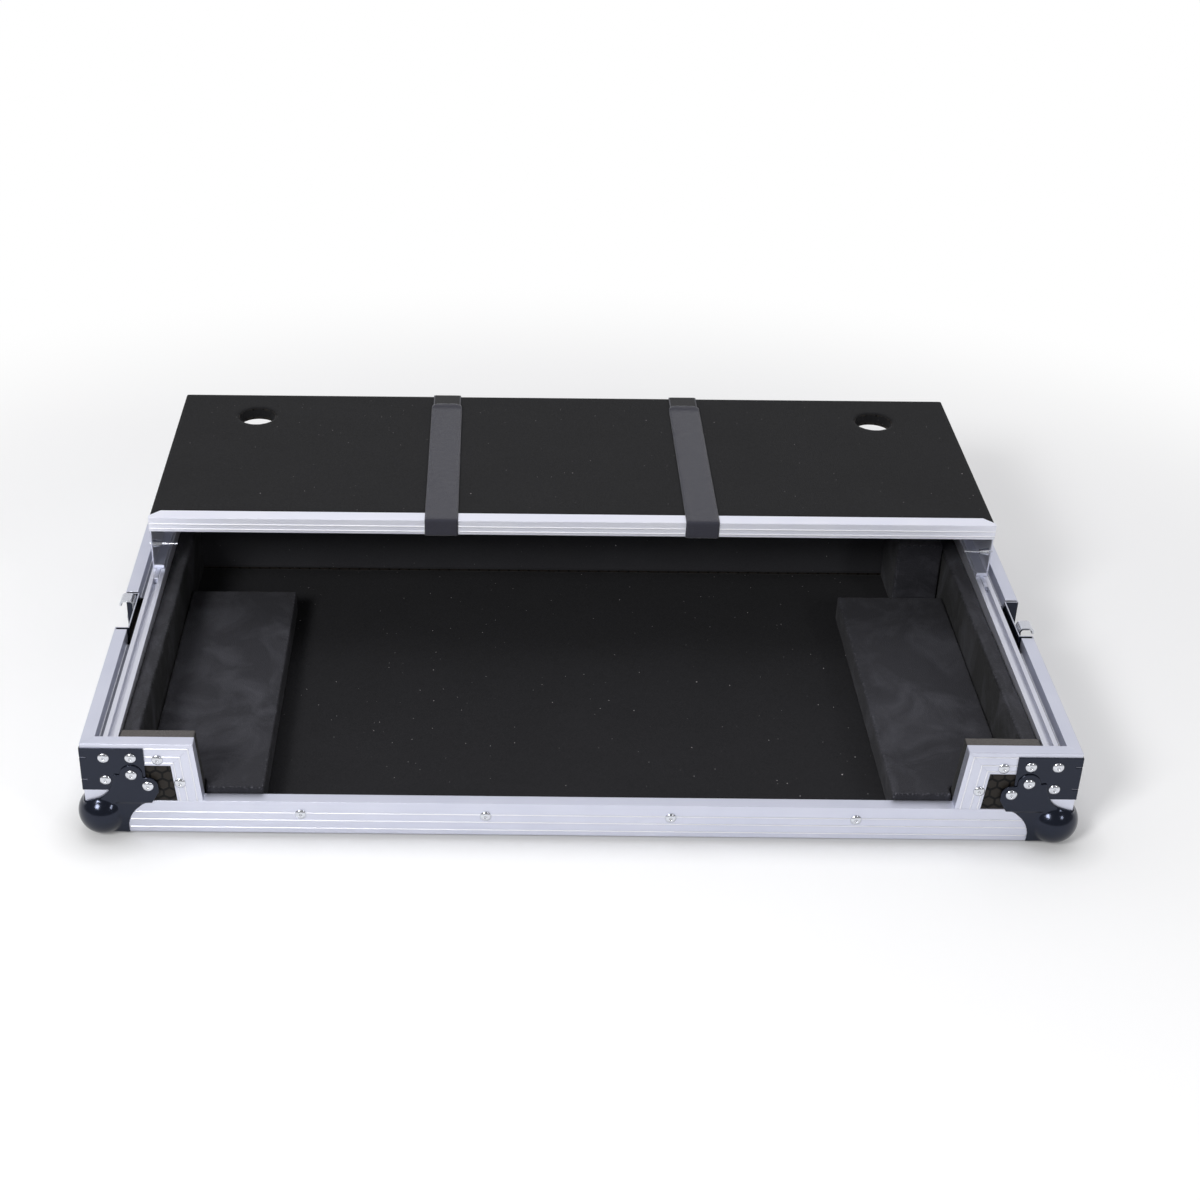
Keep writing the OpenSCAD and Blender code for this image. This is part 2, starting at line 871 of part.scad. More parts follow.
module post_foam(side) {
    difference() {
        on_side(side) along_y(rim_w, post_foam_rear) polygon([
            [open_low, felt_top], [inner_wall_in, felt_top], [inner_wall_in, foam_top],
            [open_at(foam_top), foam_top], [open_low, sill_h]]);
        cheek_room(side);
    }
}

module left_post_foam() {
    color(foam_colour) placed() post_foam(-1);
}

module right_post_foam() {
    color(foam_colour) placed() post_foam(1);
}

// Loose block, notched where the foam of the post stands
module foam_block(side) {
    block_in = bay_side - block_w;
    block_front = rim_w + run_gap;
    block_rear = bay_rear - pad_l - block_pad_gap;
    on_side(side) translate([0, 0, felt_top]) linear_extrude(block_h) polygon([
        [block_in, block_front], [open_low - run_gap, block_front],
        [open_low - run_gap, post_foam_rear], [bay_side, post_foam_rear],
        [bay_side, block_rear], [block_in, block_rear]]);
}

module left_foam_block() {
    color(foam_colour) placed() foam_block(-1);
}

module right_foam_block() {
    color(foam_colour) placed() foam_block(1);
}

module corner_pad() {
    color(foam_colour) placed()
        block([bay_side - pad_w, bay_rear - pad_l, felt_top],
            [bay_side, bay_rear, foam_top]);
}

// Two slits across the fold of each brace, level with its rivets
module brace_slits() {
    for (z = [brace_hole_z, brace_hole_z - brace_hole_pitch])
        block([half_w - brace_slit_l, -brace_t - over, z - brace_slit_h / 2],
            [half_w + brace_t + over, brace_slit_l, z + brace_slit_h / 2]);
}

module corner_braces() {
    color(black_steel) placed() at_corners() difference() {
        union() {
            block([half_w - brace_w, -brace_t, brace_low], [half_w + brace_t, 0, brace_low + brace_h]);
            block([half_w, -brace_t, brace_low], [half_w + brace_t, brace_w, brace_low + brace_h]);
        }
        brace_slits();
        one_corner_rivets(true);
    }
}

// The pressed ball itself, open towards the case
module ball_shell_piece() {
    difference() {
        ball(ball_r);
        ball(ball_r - ball_shell);
        difference() {
            block([half_w - ball_reach, 0, 0], [half_w, ball_reach, ball_reach]);
            corner_room();
        }
    }
}

// Leaves on the three faces of the front right corner, joined by the ball
module ball_corner() {
    ball_shell_piece();
    difference() {
        union() {
            on_corner_front(0, leaf_t) skirt_outline();
            on_corner_side(0, leaf_t) skirt_outline();
            on_corner_front(brace_t, brace_t + leaf_t) leaf_outline();
            on_corner_side(brace_t, brace_t + leaf_t) leaf_outline();
            translate([half_w, 0, -leaf_t]) intersection() {
                cylinder(r = under_leaf_r, h = leaf_t, $fn = fine);
                translate([-under_leaf_r, 0, 0]) cube(under_leaf_r);
            }
        }
        ball(ball_r - ball_shell / 2);
        corner_room();
        one_corner_rivets(true);
    }
}

module front_left_ball_corner() {
    color(black_steel) placed() on_side(-1) ball_corner();
}

module front_right_ball_corner() {
    color(black_steel) placed() ball_corner();
}

module rear_left_ball_corner() {
    color(black_steel) placed() on_side(-1) at_rear() ball_corner();
}

module rear_right_ball_corner() {
    color(black_steel) placed() at_rear() ball_corner();
}

module edge_rivets() {
    color(bright_steel) placed() {
        front_edge_rivets(false);
        rear_edge_rivets(false);
        side_edge_rivets(false);
        post_rivets(false);
        dish_rivets(false);
    }
}

module corner_rivets() {
    color(bright_steel) placed() at_corners() one_corner_rivets(false);
}

// Draws a piece of the right latch, or the same piece turned about for the left side
module at_latch(side) {
    if (side < 0) {
        translate([0, latch_y, 0]) rotate([0, 0, 180]) children();
    } else {
        translate([0, latch_y, 0]) children();
    }
}

// A rod along X at a place along the side and a height
module x_rod(from, to, r, u, z) {
    translate([from, u, z]) rotate([0, 90, 0]) cylinder(r = r, h = to - from, $fn = fine);
}

// Open at its top and outer side, so that the hook can rise
module latch_dish(side) {
    difference() {
        at_latch(side) difference() {
            union() {
                block([dish_back, -dish_half, dish_low], [half_w, dish_half, rim_h]);
                block([ply_out, -dish_flange_half, dish_flange_low],
                    [half_w, dish_flange_half, dish_flange_top]);
                block([ply_out, -dish_neck_half, dish_low], [half_w, dish_neck_half, rim_h]);
            }
            block([dish_floor, -dish_w / 2, dish_low + dish_t],
                [half_w + over, dish_w / 2, rim_h + over]);
            x_rod(dish_back - over, dish_floor + over, spindle_r + fit_gap, 0, spindle_z);
        }
        dish_rivets(true);
    }
}

module left_latch_dish() {
    color(black_steel) placed() latch_dish(-1);
}

module right_latch_dish() {
    color(black_steel) placed() latch_dish(1);
}

// Disc with its spindle, the crank pin that lifts the hook and the boss that holds the wing
module latch_cam() {
    difference() {
        union() {
            x_rod(dish_back, cam_in, spindle_r, 0, spindle_z);
            x_rod(cam_in, cam_out, cam_r, 0, spindle_z);
            x_rod(dish_floor + run_gap, cam_in, crank_pin_r, 0, spindle_z - crank_r);
            block([cam_out, -boss_half, spindle_z - boss_rise],
                [hinge_x + knuckle_r, boss_half, spindle_z + boss_rise]);
        }
        wing_pin(wing_pin_r + fit_gap, boss_half + over);
    }
}

module wing_pin(r, half) {
    translate([hinge_x, half, spindle_z]) rotate([90, 0, 0]) cylinder(r = r, h = 2 * half, $fn = fine);
}

module left_latch_cam() {
    color(bright_steel) placed() at_latch(-1) latch_cam();
}

module right_latch_cam() {
    color(bright_steel) placed() at_latch(1) latch_cam();
}

// Two lobes for finger and thumb on one hinge pin
module latch_wing() {
    face = hinge_x + knuckle_r;
    wing_pin(wing_pin_r, knuckle_out);
    for (way = [-1, 1]) mirror([0, way < 0 ? 1 : 0, 0]) {
        translate([hinge_x, knuckle_out, spindle_z]) rotate([90, 0, 0])
            cylinder(r = knuckle_r, h = knuckle_l, $fn = fine);
        x_rod(face - wing_t, face, wing_lobe_r, wing_lobe_u, spindle_z - wing_lobe_drop);
        block([face - wing_t, knuckle_in, spindle_z - wing_lobe_drop],
            [face, knuckle_out, spindle_z]);
    }
}

module left_latch_wing() {
    color(bright_steel) placed() at_latch(-1) latch_wing();
}

module right_latch_wing() {
    color(bright_steel) placed() at_latch(1) latch_wing();
}

// Section of the claw: up the plate, out over the side of the case and down again
module claw_section() {
    claw_top = rim_h + claw_rise + hook_t;
    bend_z = claw_top - claw_r;
    tip = half_w + claw_side_gap + hook_t;
    translate([hook_in, hook_low]) square([hook_t, bend_z - hook_low]);
    translate([hook_in + claw_r, claw_top - hook_t]) square([tip - hook_in - 2 * claw_r, hook_t]);
    translate([tip - hook_t, bend_z - claw_lip]) square([hook_t, claw_lip]);
    for (x = [hook_in + claw_r, tip - claw_r]) intersection() {
        translate([x, bend_z]) difference() {
            circle(claw_r, $fn = fine);
            circle(claw_r - hook_t, $fn = fine);
        }
        translate([x < (hook_in + tip) / 2 ? hook_in : x, bend_z]) square(claw_r);
    }
}

// Plate that slides up in the dish, with a claw that takes hold of the lid
module latch_hook() {
    slot_half = spindle_r + run_gap;
    window_half_h = crank_pin_r + crank_slack;
    crank_z = spindle_z - crank_r;
    difference() {
        union() {
            block([hook_in, -hook_half, hook_low],
                [hook_out, hook_half, spindle_z + hook_body_rise]);
            along_y(-hook_set - hook_w, -hook_set) claw_section();
        }
        block([hook_in - over, -slot_half, spindle_z - hook_lift],
            [hook_out + over, slot_half, spindle_z]);
        x_rod(hook_in - over, hook_out + over, slot_half, 0, spindle_z);
        x_rod(hook_in - over, hook_out + over, slot_half, 0, spindle_z - hook_lift);
        block([hook_in - over, -hook_window_half, crank_z - window_half_h],
            [hook_out + over, hook_window_half, crank_z + window_half_h]);
    }
}

module left_latch_hook() {
    color(bright_steel) placed() at_latch(-1) latch_hook();
}

module right_latch_hook() {
    color(bright_steel) placed() at_latch(1) latch_hook();
}

module cable_holes() {
    for (side = [-1, 1]) translate([side * cable_hole_x, cable_hole_y, board_low - over])
        cylinder(r = cable_hole_d / 2, h = shelf_t + 2 * over, $fn = fine);
}

module screw_places() {
    pitch = (bracket_rear - bracket_front - 2 * screw_set) / (screw_count - 1);
    for (side = [-1, 1], i = [0:screw_count - 1])
        translate([
            side * (shelf_half - bracket_top_w / 2), bracket_front + screw_set + i * pitch,
            board_low - bracket_t]) children();
}

module screw_holes() {
    screw_places() cylinder(r = screw_r, h = screw_l, $fn = fine);
}

module shelf_board() {
    color(wood_colour) placed() difference() {
        block([-board_half, shelf_front + nosing_t, board_low],
            [board_half, shelf_rear - carpet_t, board_top]);
        cable_holes();
        screw_holes();
    }
}

// Covers the top, the two sides and the rear of the board
module shelf_carpet() {
    step = nosing_d - nosing_chamfer;
    low = shelf_front + nosing_t;
    color(felt_colour) placed() difference() {
        union() {
            translate([0, 0, board_top]) linear_extrude(carpet_t) polygon([
                [-shelf_half, shelf_rear], [shelf_half, shelf_rear],
                [shelf_half, shelf_front + step],
                [shelf_half - nosing_chamfer, shelf_front + nosing_d],
                [-shelf_half + nosing_chamfer, shelf_front + nosing_d],
                [-shelf_half, shelf_front + step]]);
            for (side = [-1, 1]) on_side(side)
                block([board_half, low, board_low], [shelf_half, shelf_rear, board_top]);
            block([-board_half, shelf_rear - carpet_t, board_low],
                [board_half, shelf_rear, board_top]);
        }
        cable_holes();
    }
}

// Wraps the front of the board
module shelf_nosing() {
    leg_half = shelf_half - bracket_top_w - run_gap;
    step = nosing_d - nosing_chamfer;
    face_h = shelf_top - shelf_low;
    color(edge_colour) placed() {
        block([-shelf_half, shelf_front, shelf_low],
            [shelf_half, shelf_front + nosing_t, shelf_top]);
        translate([0, 0, board_top]) linear_extrude(carpet_t) polygon([
            [-shelf_half, shelf_front], [shelf_half, shelf_front],
            [shelf_half, shelf_front + step],
            [shelf_half - nosing_chamfer, shelf_front + nosing_d],
            [-shelf_half + nosing_chamfer, shelf_front + nosing_d],
            [-shelf_half, shelf_front + step]]);
        block([-leg_half, shelf_front, shelf_low], [leg_half, shelf_front + nosing_leg, board_low]);
        difference() {
            for (share = nosing_rib_shares)
                rib_x(-shelf_half, shelf_half, shelf_front, shelf_low + share * face_h);
            straps_around(over);
        }
    }
}

// Carries the shelf on the rail, and holds its lock pin
module bracket(side) {
    on_side(side) difference() {
        union() {
            block([shelf_half - bracket_t, bracket_front, foot_z],
                [shelf_half, bracket_rear, board_low]);
            block([shelf_half - bracket_top_w, bracket_front, board_low - bracket_t],
                [shelf_half, bracket_rear, board_low]);
            block([shelf_half - foot_w, bracket_front, foot_z],
                [shelf_half, bracket_rear, foot_z + foot_h]);
        }
        x_rod(shelf_half - bracket_t - over, shelf_half + over, pin_bore_r, pin_y, pin_z);
        screw_holes();
    }
}

module left_bracket() {
    color(edge_colour) placed() bracket(-1);
}

module right_bracket() {
    color(edge_colour) placed() bracket(1);
}

module runners() {
    color(edge_colour) placed() for (side = [-1, 1]) on_side(side)
        block([runner_x - runner_w / 2, runner_front, runner_low],
            [runner_x + runner_w / 2, runner_front + runner_l, foot_z]);
}

module shelf_screws() {
    color(bright_steel) placed() screw_places() {
        cylinder(r = screw_r, h = screw_l, $fn = fine);
        translate([0, 0, -screw_head_h])
            cylinder(r1 = screw_r, r2 = screw_head_r, h = screw_head_h, $fn = fine);
    }
}

module lock_pin(side) {
    nose = shelf_half + pin_nose;
    on_side(side) x_rod(nose - pin_l, nose, pin_r, pin_y, pin_z);
}

module left_lock_pin() {
    color(bright_steel) placed() lock_pin(-1);
}

module right_lock_pin() {
    color(bright_steel) placed() lock_pin(1);
}

module pin_sleeves() {
    seat = shelf_half - bracket_t;
    color(bright_steel) placed() for (side = [-1, 1]) on_side(side) difference() {
        translate([seat - sleeve_l, pin_y, pin_z]) rotate([0, 90, 0])
            cylinder(r1 = sleeve_tip_r, r2 = sleeve_r, h = sleeve_l, $fn = fine);
        x_rod(seat - sleeve_l - over, seat + over, pin_bore_r, pin_y, pin_z);
    }
}

// A strap's outer shape, widened by a margin
module straps_around(margin) {
    for (side = [-1, 1])
        translate([side * strap_pitch / 2 - strap_w / 2, shelf_front - strap_t, shelf_low - strap_t])
            cube([strap_w, strap_t, shelf_t + 2 * strap_t]);
}

module straps() {
    color(strap_colour) placed() {
        straps_around(0);
        for (side = [-1, 1]) translate([side * strap_pitch / 2, 0, 0]) {
            block([-strap_w / 2, shelf_front, shelf_top], [strap_w / 2, tape_front, shelf_top + strap_t]);
            block([-strap_w / 2, shelf_front, shelf_low - strap_t],
                [strap_w / 2, shelf_front + strap_under, shelf_low]);
        }
    }
}

module hook_tapes() {
    color(felt_colour) placed() for (side = [-1, 1]) translate([side * strap_pitch / 2, 0, 0])
        block([-tape_w / 2, tape_front, shelf_top], [tape_w / 2, shelf_rear, shelf_top + tape_t]);
}

floor_panel();
front_panel();
rear_panel();
left_panel();
right_panel();
front_edge();
rear_edge();
left_edge();
right_edge();
left_post_top_trim();
right_post_top_trim();
left_post_side_trim();
right_post_side_trim();
left_rim_front();
left_rim_rear();
right_rim_front();
right_rim_rear();
rear_rim();
corner_edges();
battens();
left_inner_wall();
right_inner_wall();
left_rail();
right_rail();
floor_felt();
rear_felt();
left_side_foam();
right_side_foam();
left_post_foam();
right_post_foam();
left_foam_block();
right_foam_block();
corner_pad();
corner_braces();
front_left_ball_corner();
front_right_ball_corner();
rear_left_ball_corner();
rear_right_ball_corner();
edge_rivets();
corner_rivets();
left_latch_dish();
right_latch_dish();
left_latch_cam();
right_latch_cam();
left_latch_wing();
right_latch_wing();
left_latch_hook();
right_latch_hook();
shelf_board();
shelf_carpet();
shelf_nosing();
left_bracket();
right_bracket();
runners();
shelf_screws();
left_lock_pin();
right_lock_pin();
pin_sleeves();
straps();
hook_tapes();
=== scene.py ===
"""Looks of a flight case base for a dj controller, with a laptop shelf that glides on side rails."""

import math

import bpy
from mathutils import Matrix, Vector, noise


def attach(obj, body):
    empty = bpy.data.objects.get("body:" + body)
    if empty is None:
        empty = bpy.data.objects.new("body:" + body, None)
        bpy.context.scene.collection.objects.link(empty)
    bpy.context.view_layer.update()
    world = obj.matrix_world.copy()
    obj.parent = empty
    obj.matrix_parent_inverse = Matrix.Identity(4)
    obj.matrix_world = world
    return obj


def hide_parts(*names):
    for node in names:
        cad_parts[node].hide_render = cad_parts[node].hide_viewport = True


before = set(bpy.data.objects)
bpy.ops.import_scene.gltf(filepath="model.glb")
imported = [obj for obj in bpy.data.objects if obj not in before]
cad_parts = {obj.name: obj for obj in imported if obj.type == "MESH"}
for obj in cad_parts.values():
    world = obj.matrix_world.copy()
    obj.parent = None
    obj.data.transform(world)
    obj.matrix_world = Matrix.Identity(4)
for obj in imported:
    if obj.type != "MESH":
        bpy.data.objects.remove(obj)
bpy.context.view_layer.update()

# The front of the case lies this far before the middle of the object, and its underside this far over the
# floor. The last is its depth over its edges. All are in millimetres
CASE_FRONT = 282.75
CASE_LIFT = 5.0
CASE_DEPTH = 445


def at(x, y, z):
    """A place in the case's own millimetres, as metres in the frame of the object."""
    return Vector((x / 1000, (y - CASE_FRONT) / 1000, (z + CASE_LIFT) / 1000))


def srgb(code):
    """A hex colour as linear red, green, blue and alpha."""
    parts = [int(code[i:i + 2], 16) / 255 for i in (1, 3, 5)]
    return (*[p / 12.92 if p <= 0.04045 else ((p + 0.055) / 1.055) ** 2.4 for p in parts], 1.0)


def add(tree, kind, inputs=None, **settings):
    """Adds one node with its settings, and sets or links its inputs."""
    made = tree.nodes.new(kind)
    for key, value in settings.items():
        setattr(made, key, value)
    for key, value in (inputs or {}).items():
        if isinstance(value, bpy.types.NodeSocket):
            tree.links.new(value, made.inputs[key])
        else:
            made.inputs[key].default_value = value
    return made


def new_material(name):
    """An empty material with its output, and the tree to build it in."""
    material = bpy.data.materials.new(name)
    material.use_nodes = True
    material.node_tree.nodes.clear()
    return material, material.node_tree


def put_out(tree, shader):
    """Gives the material this shader as its surface."""
    add(tree, "ShaderNodeOutputMaterial", {"Surface": shader.outputs[0]})


def in_mm(tree, x, y, z):
    """The piece's own coordinates, counted in steps of these millimetres."""
    place = add(tree, "ShaderNodeTexCoord")
    return add(tree, "ShaderNodeMapping", {
        "Vector": place.outputs["Object"],
        "Scale": (1000 / x, 1000 / y, 1000 / z)}).outputs[0]


# Metals

def extruded_aluminium(name, line_size, light="#e3e5f1", deep="#d6d9e8", rough=(0.44, 0.58), metallic=1.0):
    """Aluminium pressed through a die and satin anodised: faint lines run along the bar and the sheen stays
    soft. Painted shade darkens the corners beside the ribs and joints, and a painted highlight turns the
    faces that slant between the axes, the round sides of the ribs above all, near white."""
    material, tree = new_material(name)
    lines = add(tree, "ShaderNodeTexNoise", {
        "Vector": in_mm(tree, *line_size), "Scale": 1.0, "Detail": 3.0, "Roughness": 0.6})
    clouds = add(tree, "ShaderNodeTexNoise", {
        "Vector": in_mm(tree, 45, 45, 45), "Scale": 1.0, "Detail": 2.0})
    colour = add(tree, "ShaderNodeMix", {
        0: clouds.outputs[0], 6: srgb(light), 7: srgb(deep)}, data_type="RGBA")
    # Painted shade: the colour darkens where the bar's own faces close in, beside the ribs and in joints
    corner = add(tree, "ShaderNodeAmbientOcclusion", {"Distance": 0.0025}, samples=4, only_local=True)
    crease_shade_painted = add(tree, "ShaderNodeMapRange", {
        "Value": corner.outputs["AO"], "From Min": 0.3, "From Max": 0.95, "To Min": 0.85, "To Max": 1.0})
    shaded = add(tree, "ShaderNodeMix", {
        0: 1.0, 6: colour.outputs[2], 7: crease_shade_painted.outputs[0]}, data_type="RGBA", blend_type="MULTIPLY")
    # The round side of a rib is what faces between the axes. Those faces are painted near white, a painted
    # highlight
    way = add(tree, "ShaderNodeVectorMath", {
        0: add(tree, "ShaderNodeNewGeometry").outputs["True Normal"]}, operation="ABSOLUTE")
    shares = add(tree, "ShaderNodeSeparateXYZ", {"Vector": way.outputs[0]})
    level = add(tree, "ShaderNodeMath", {0: shares.outputs[0], 1: shares.outputs[1]}, operation="MAXIMUM")
    square = add(tree, "ShaderNodeMath", {0: level.outputs[0], 1: shares.outputs[2]}, operation="MAXIMUM")
    rib_highlight_mask = add(tree, "ShaderNodeMapRange", {
        "Value": square.outputs[0], "From Min": 0.9, "From Max": 0.99, "To Min": 1.0, "To Max": 0.0})
    rib_highlight_painted = add(tree, "ShaderNodeMix", {
        0: rib_highlight_mask.outputs[0], 6: shaded.outputs[2], 7: srgb("#fdfdff")}, data_type="RGBA")
    shine = add(tree, "ShaderNodeMapRange", {
        "Value": lines.outputs[0], "To Min": rough[0], "To Max": rough[1]})
    edge = add(tree, "ShaderNodeBevel", {"Radius": 0.0009}, samples=6)
    relief = add(tree, "ShaderNodeBump", {
        "Height": lines.outputs[0], "Strength": 0.1, "Distance": 0.00003, "Normal": edge.outputs[0]})
    put_out(tree, add(tree, "ShaderNodeBsdfPrincipled", {
        "Base Color": rib_highlight_painted.outputs[2], "Metallic": metallic, "Roughness": shine.outputs[0],
        "Normal": relief.outputs[0]}))
    return material


def black_steel_coat(name, pale_top_over=None):
    """Steel pressed to shape and coated blue-black: nearly black, and glossy enough for small hard glints.
    Faces that look up over this height in millimetres are given pale bare metal, a light line along
    the top edge."""
    material, tree = new_material(name)
    peel = add(tree, "ShaderNodeTexNoise", {
        "Vector": in_mm(tree, 3.5, 3.5, 3.5), "Scale": 1.0, "Detail": 2.0})
    haze = add(tree, "ShaderNodeTexNoise", {
        "Vector": in_mm(tree, 22, 22, 22), "Scale": 1.0, "Detail": 3.0})
    colour = add(tree, "ShaderNodeMix", {
        0: haze.outputs[0], 6: srgb("#0c0e15"), 7: srgb("#12161f")}, data_type="RGBA")
    shine = add(tree, "ShaderNodeMapRange", {
        "Value": haze.outputs[0], "To Min": 0.11, "To Max": 0.2})
    edge = add(tree, "ShaderNodeBevel", {"Radius": 0.0006}, samples=6)
    relief = add(tree, "ShaderNodeBump", {
        "Height": peel.outputs[0], "Strength": 0.15, "Distance": 0.00006, "Normal": edge.outputs[0]})
    coat = add(tree, "ShaderNodeBsdfPrincipled", {
        "Base Color": colour.outputs[2], "Roughness": shine.outputs[0], "Specular IOR Level": 0.5,
        "Specular Tint": srgb("#d5dfff"), "Normal": relief.outputs[0]})
    if pale_top_over is None:
        put_out(tree, coat)
        return material
    height = add(tree, "ShaderNodeSeparateXYZ", {"Vector": in_mm(tree, 1, 1, 1)})
    high = add(tree, "ShaderNodeMath", {0: height.outputs[2], 1: pale_top_over}, operation="GREATER_THAN")
    facing = add(tree, "ShaderNodeSeparateXYZ", {
        "Vector": add(tree, "ShaderNodeNewGeometry").outputs["True Normal"]})
    up = add(tree, "ShaderNodeMath", {0: facing.outputs[2], 1: 0.9}, operation="GREATER_THAN")
    cut = add(tree, "ShaderNodeMath", {0: high.outputs[0], 1: up.outputs[0]}, operation="MULTIPLY")
    pale_top_metal = add(tree, "ShaderNodeBsdfPrincipled", {
        "Base Color": srgb("#c9ccd6"), "Metallic": 1.0, "Roughness": 0.5})
    put_out(tree, add(tree, "ShaderNodeMixShader", {
        0: cut.outputs[0], 1: coat.outputs[0], 2: pale_top_metal.outputs[0]}))
    return material


def bright_plated_steel():
    """Steel pressed or turned and plated with bright zinc: mirror-like, with a faint blur, and painted
    shade in its creases.
    """
    material, tree = new_material("bright_plated_steel")
    blur = add(tree, "ShaderNodeTexNoise", {
        "Vector": in_mm(tree, 2.5, 2.5, 2.5), "Scale": 1.0, "Detail": 3.0})
    colour = add(tree, "ShaderNodeMix", {
        0: blur.outputs[0], 6: srgb("#e2e4e9"), 7: srgb("#cdd0d8")}, data_type="RGBA")
    # Painted shade: the colour darkens where a head's own faces close in, as in the groove round the mandrel
    corner = add(tree, "ShaderNodeAmbientOcclusion", {"Distance": 0.0014}, samples=4, only_local=True)
    dark = add(tree, "ShaderNodeMapRange", {
        "Value": corner.outputs["AO"], "From Min": 0.35, "From Max": 0.85, "To Min": 0.28, "To Max": 1.0})
    shaded = add(tree, "ShaderNodeMix", {
        0: 1.0, 6: colour.outputs[2], 7: dark.outputs[0]}, data_type="RGBA", blend_type="MULTIPLY")
    shine = add(tree, "ShaderNodeMapRange", {
        "Value": blur.outputs[0], "To Min": 0.16, "To Max": 0.3})
    edge = add(tree, "ShaderNodeBevel", {"Radius": 0.0003}, samples=4)
    put_out(tree, add(tree, "ShaderNodeBsdfPrincipled", {
        "Base Color": shaded.outputs[2], "Metallic": 1.0, "Roughness": shine.outputs[0],
        "Normal": edge.outputs[0]}))
    return material


# Boards

def hexagon_laminate(name, across, up):
    """Plywood faced with thick plastic laminate, pressed with a honeycomb: matt charcoal cells and darker
    lines. The pattern lies in the plane of these two axes."""
    material, tree = new_material(name)
    # From one cell to the next along a row, in millimetres
    cell = 10.5
    place = add(tree, "ShaderNodeSeparateXYZ", {"Vector": in_mm(tree, cell, cell, cell)})
    flat = add(tree, "ShaderNodeCombineXYZ", {"X": place.outputs[across], "Y": place.outputs[up]})
    half = (0.5, math.sqrt(3) / 2, 0.5)
    near = []
    for shift in ((0, 0, 0), half):
        moved = add(tree, "ShaderNodeVectorMath", {0: flat.outputs[0], 1: shift}, operation="SUBTRACT")
        near.append(add(tree, "ShaderNodeVectorMath", {
            0: moved.outputs[0], 1: half, 2: [-h for h in half]}, operation="WRAP"))
    far = [add(tree, "ShaderNodeVectorMath", {0: n.outputs[0]}, operation="LENGTH") for n in near]
    nearest = add(tree, "ShaderNodeMath", {0: far[0].outputs["Value"], 1: far[1].outputs["Value"]},
                  operation="LESS_THAN")
    inside = add(tree, "ShaderNodeMix", {
        0: nearest.outputs[0], 4: near[1].outputs[0], 5: near[0].outputs[0]}, data_type="VECTOR")
    folded = add(tree, "ShaderNodeVectorMath", {0: inside.outputs[1]}, operation="ABSOLUTE")
    slanted = add(tree, "ShaderNodeVectorMath", {0: folded.outputs[0], 1: (0.5, math.sqrt(3) / 2, 0)},
                  operation="DOT_PRODUCT")
    upright = add(tree, "ShaderNodeSeparateXYZ", {"Vector": folded.outputs[0]})
    out = add(tree, "ShaderNodeMath", {0: slanted.outputs["Value"], 1: upright.outputs[0]},
              operation="MAXIMUM")
    line = add(tree, "ShaderNodeMapRange", {
        "Value": out.outputs[0], "From Min": 0.38, "From Max": 0.45}, interpolation_type="SMOOTHSTEP")
    grain = add(tree, "ShaderNodeTexNoise", {
        "Vector": in_mm(tree, 0.7, 0.7, 0.7), "Scale": 1.0, "Detail": 2.0})
    cells = add(tree, "ShaderNodeMix", {
        0: grain.outputs[0], 6: srgb("#211e1b"), 7: srgb("#2d2925")}, data_type="RGBA")
    colour = add(tree, "ShaderNodeMix", {
        0: line.outputs[0], 6: cells.outputs[2], 7: srgb("#020203")}, data_type="RGBA")
    height = add(tree, "ShaderNodeMath", {
        0: line.outputs[0], 1: -1.0, 2: grain.outputs[0]}, operation="MULTIPLY_ADD")
    relief = add(tree, "ShaderNodeBump", {
        "Height": height.outputs[0], "Strength": 0.6, "Distance": 0.0002})
    put_out(tree, add(tree, "ShaderNodeBsdfPrincipled", {
        "Base Color": colour.outputs[2], "Roughness": 0.55, "Specular IOR Level": 0.2,
        "Normal": relief.outputs[0]}))
    return material


def stained_plywood():
    """Birch plywood, peeled in layers and stained dark inside the case, with thin light and dark plies."""
    material, tree = new_material("stained_plywood")
    grain = add(tree, "ShaderNodeTexNoise", {
        "Vector": in_mm(tree, 60, 3, 3), "Scale": 1.0, "Detail": 4.0, "Distortion": 0.4})
    plies = add(tree, "ShaderNodeTexWave", {
        "Vector": in_mm(tree, 1e6, 1e6, 3.0), "Scale": 0.32, "Distortion": 0.3},
        bands_direction="Z")
    tone = add(tree, "ShaderNodeMath", {0: grain.outputs[0], 1: plies.outputs["Fac"]}, operation="MULTIPLY")
    colour = add(tree, "ShaderNodeMix", {
        0: tone.outputs[0], 6: srgb("#241d17"), 7: srgb("#4b3b2b")}, data_type="RGBA")
    relief = add(tree, "ShaderNodeBump", {
        "Height": grain.outputs[0], "Strength": 0.4, "Distance": 0.0001})
    put_out(tree, add(tree, "ShaderNodeBsdfPrincipled", {
        "Base Color": colour.outputs[2], "Roughness": 0.7, "Normal": relief.outputs[0]}))
    return material


# Soft goods

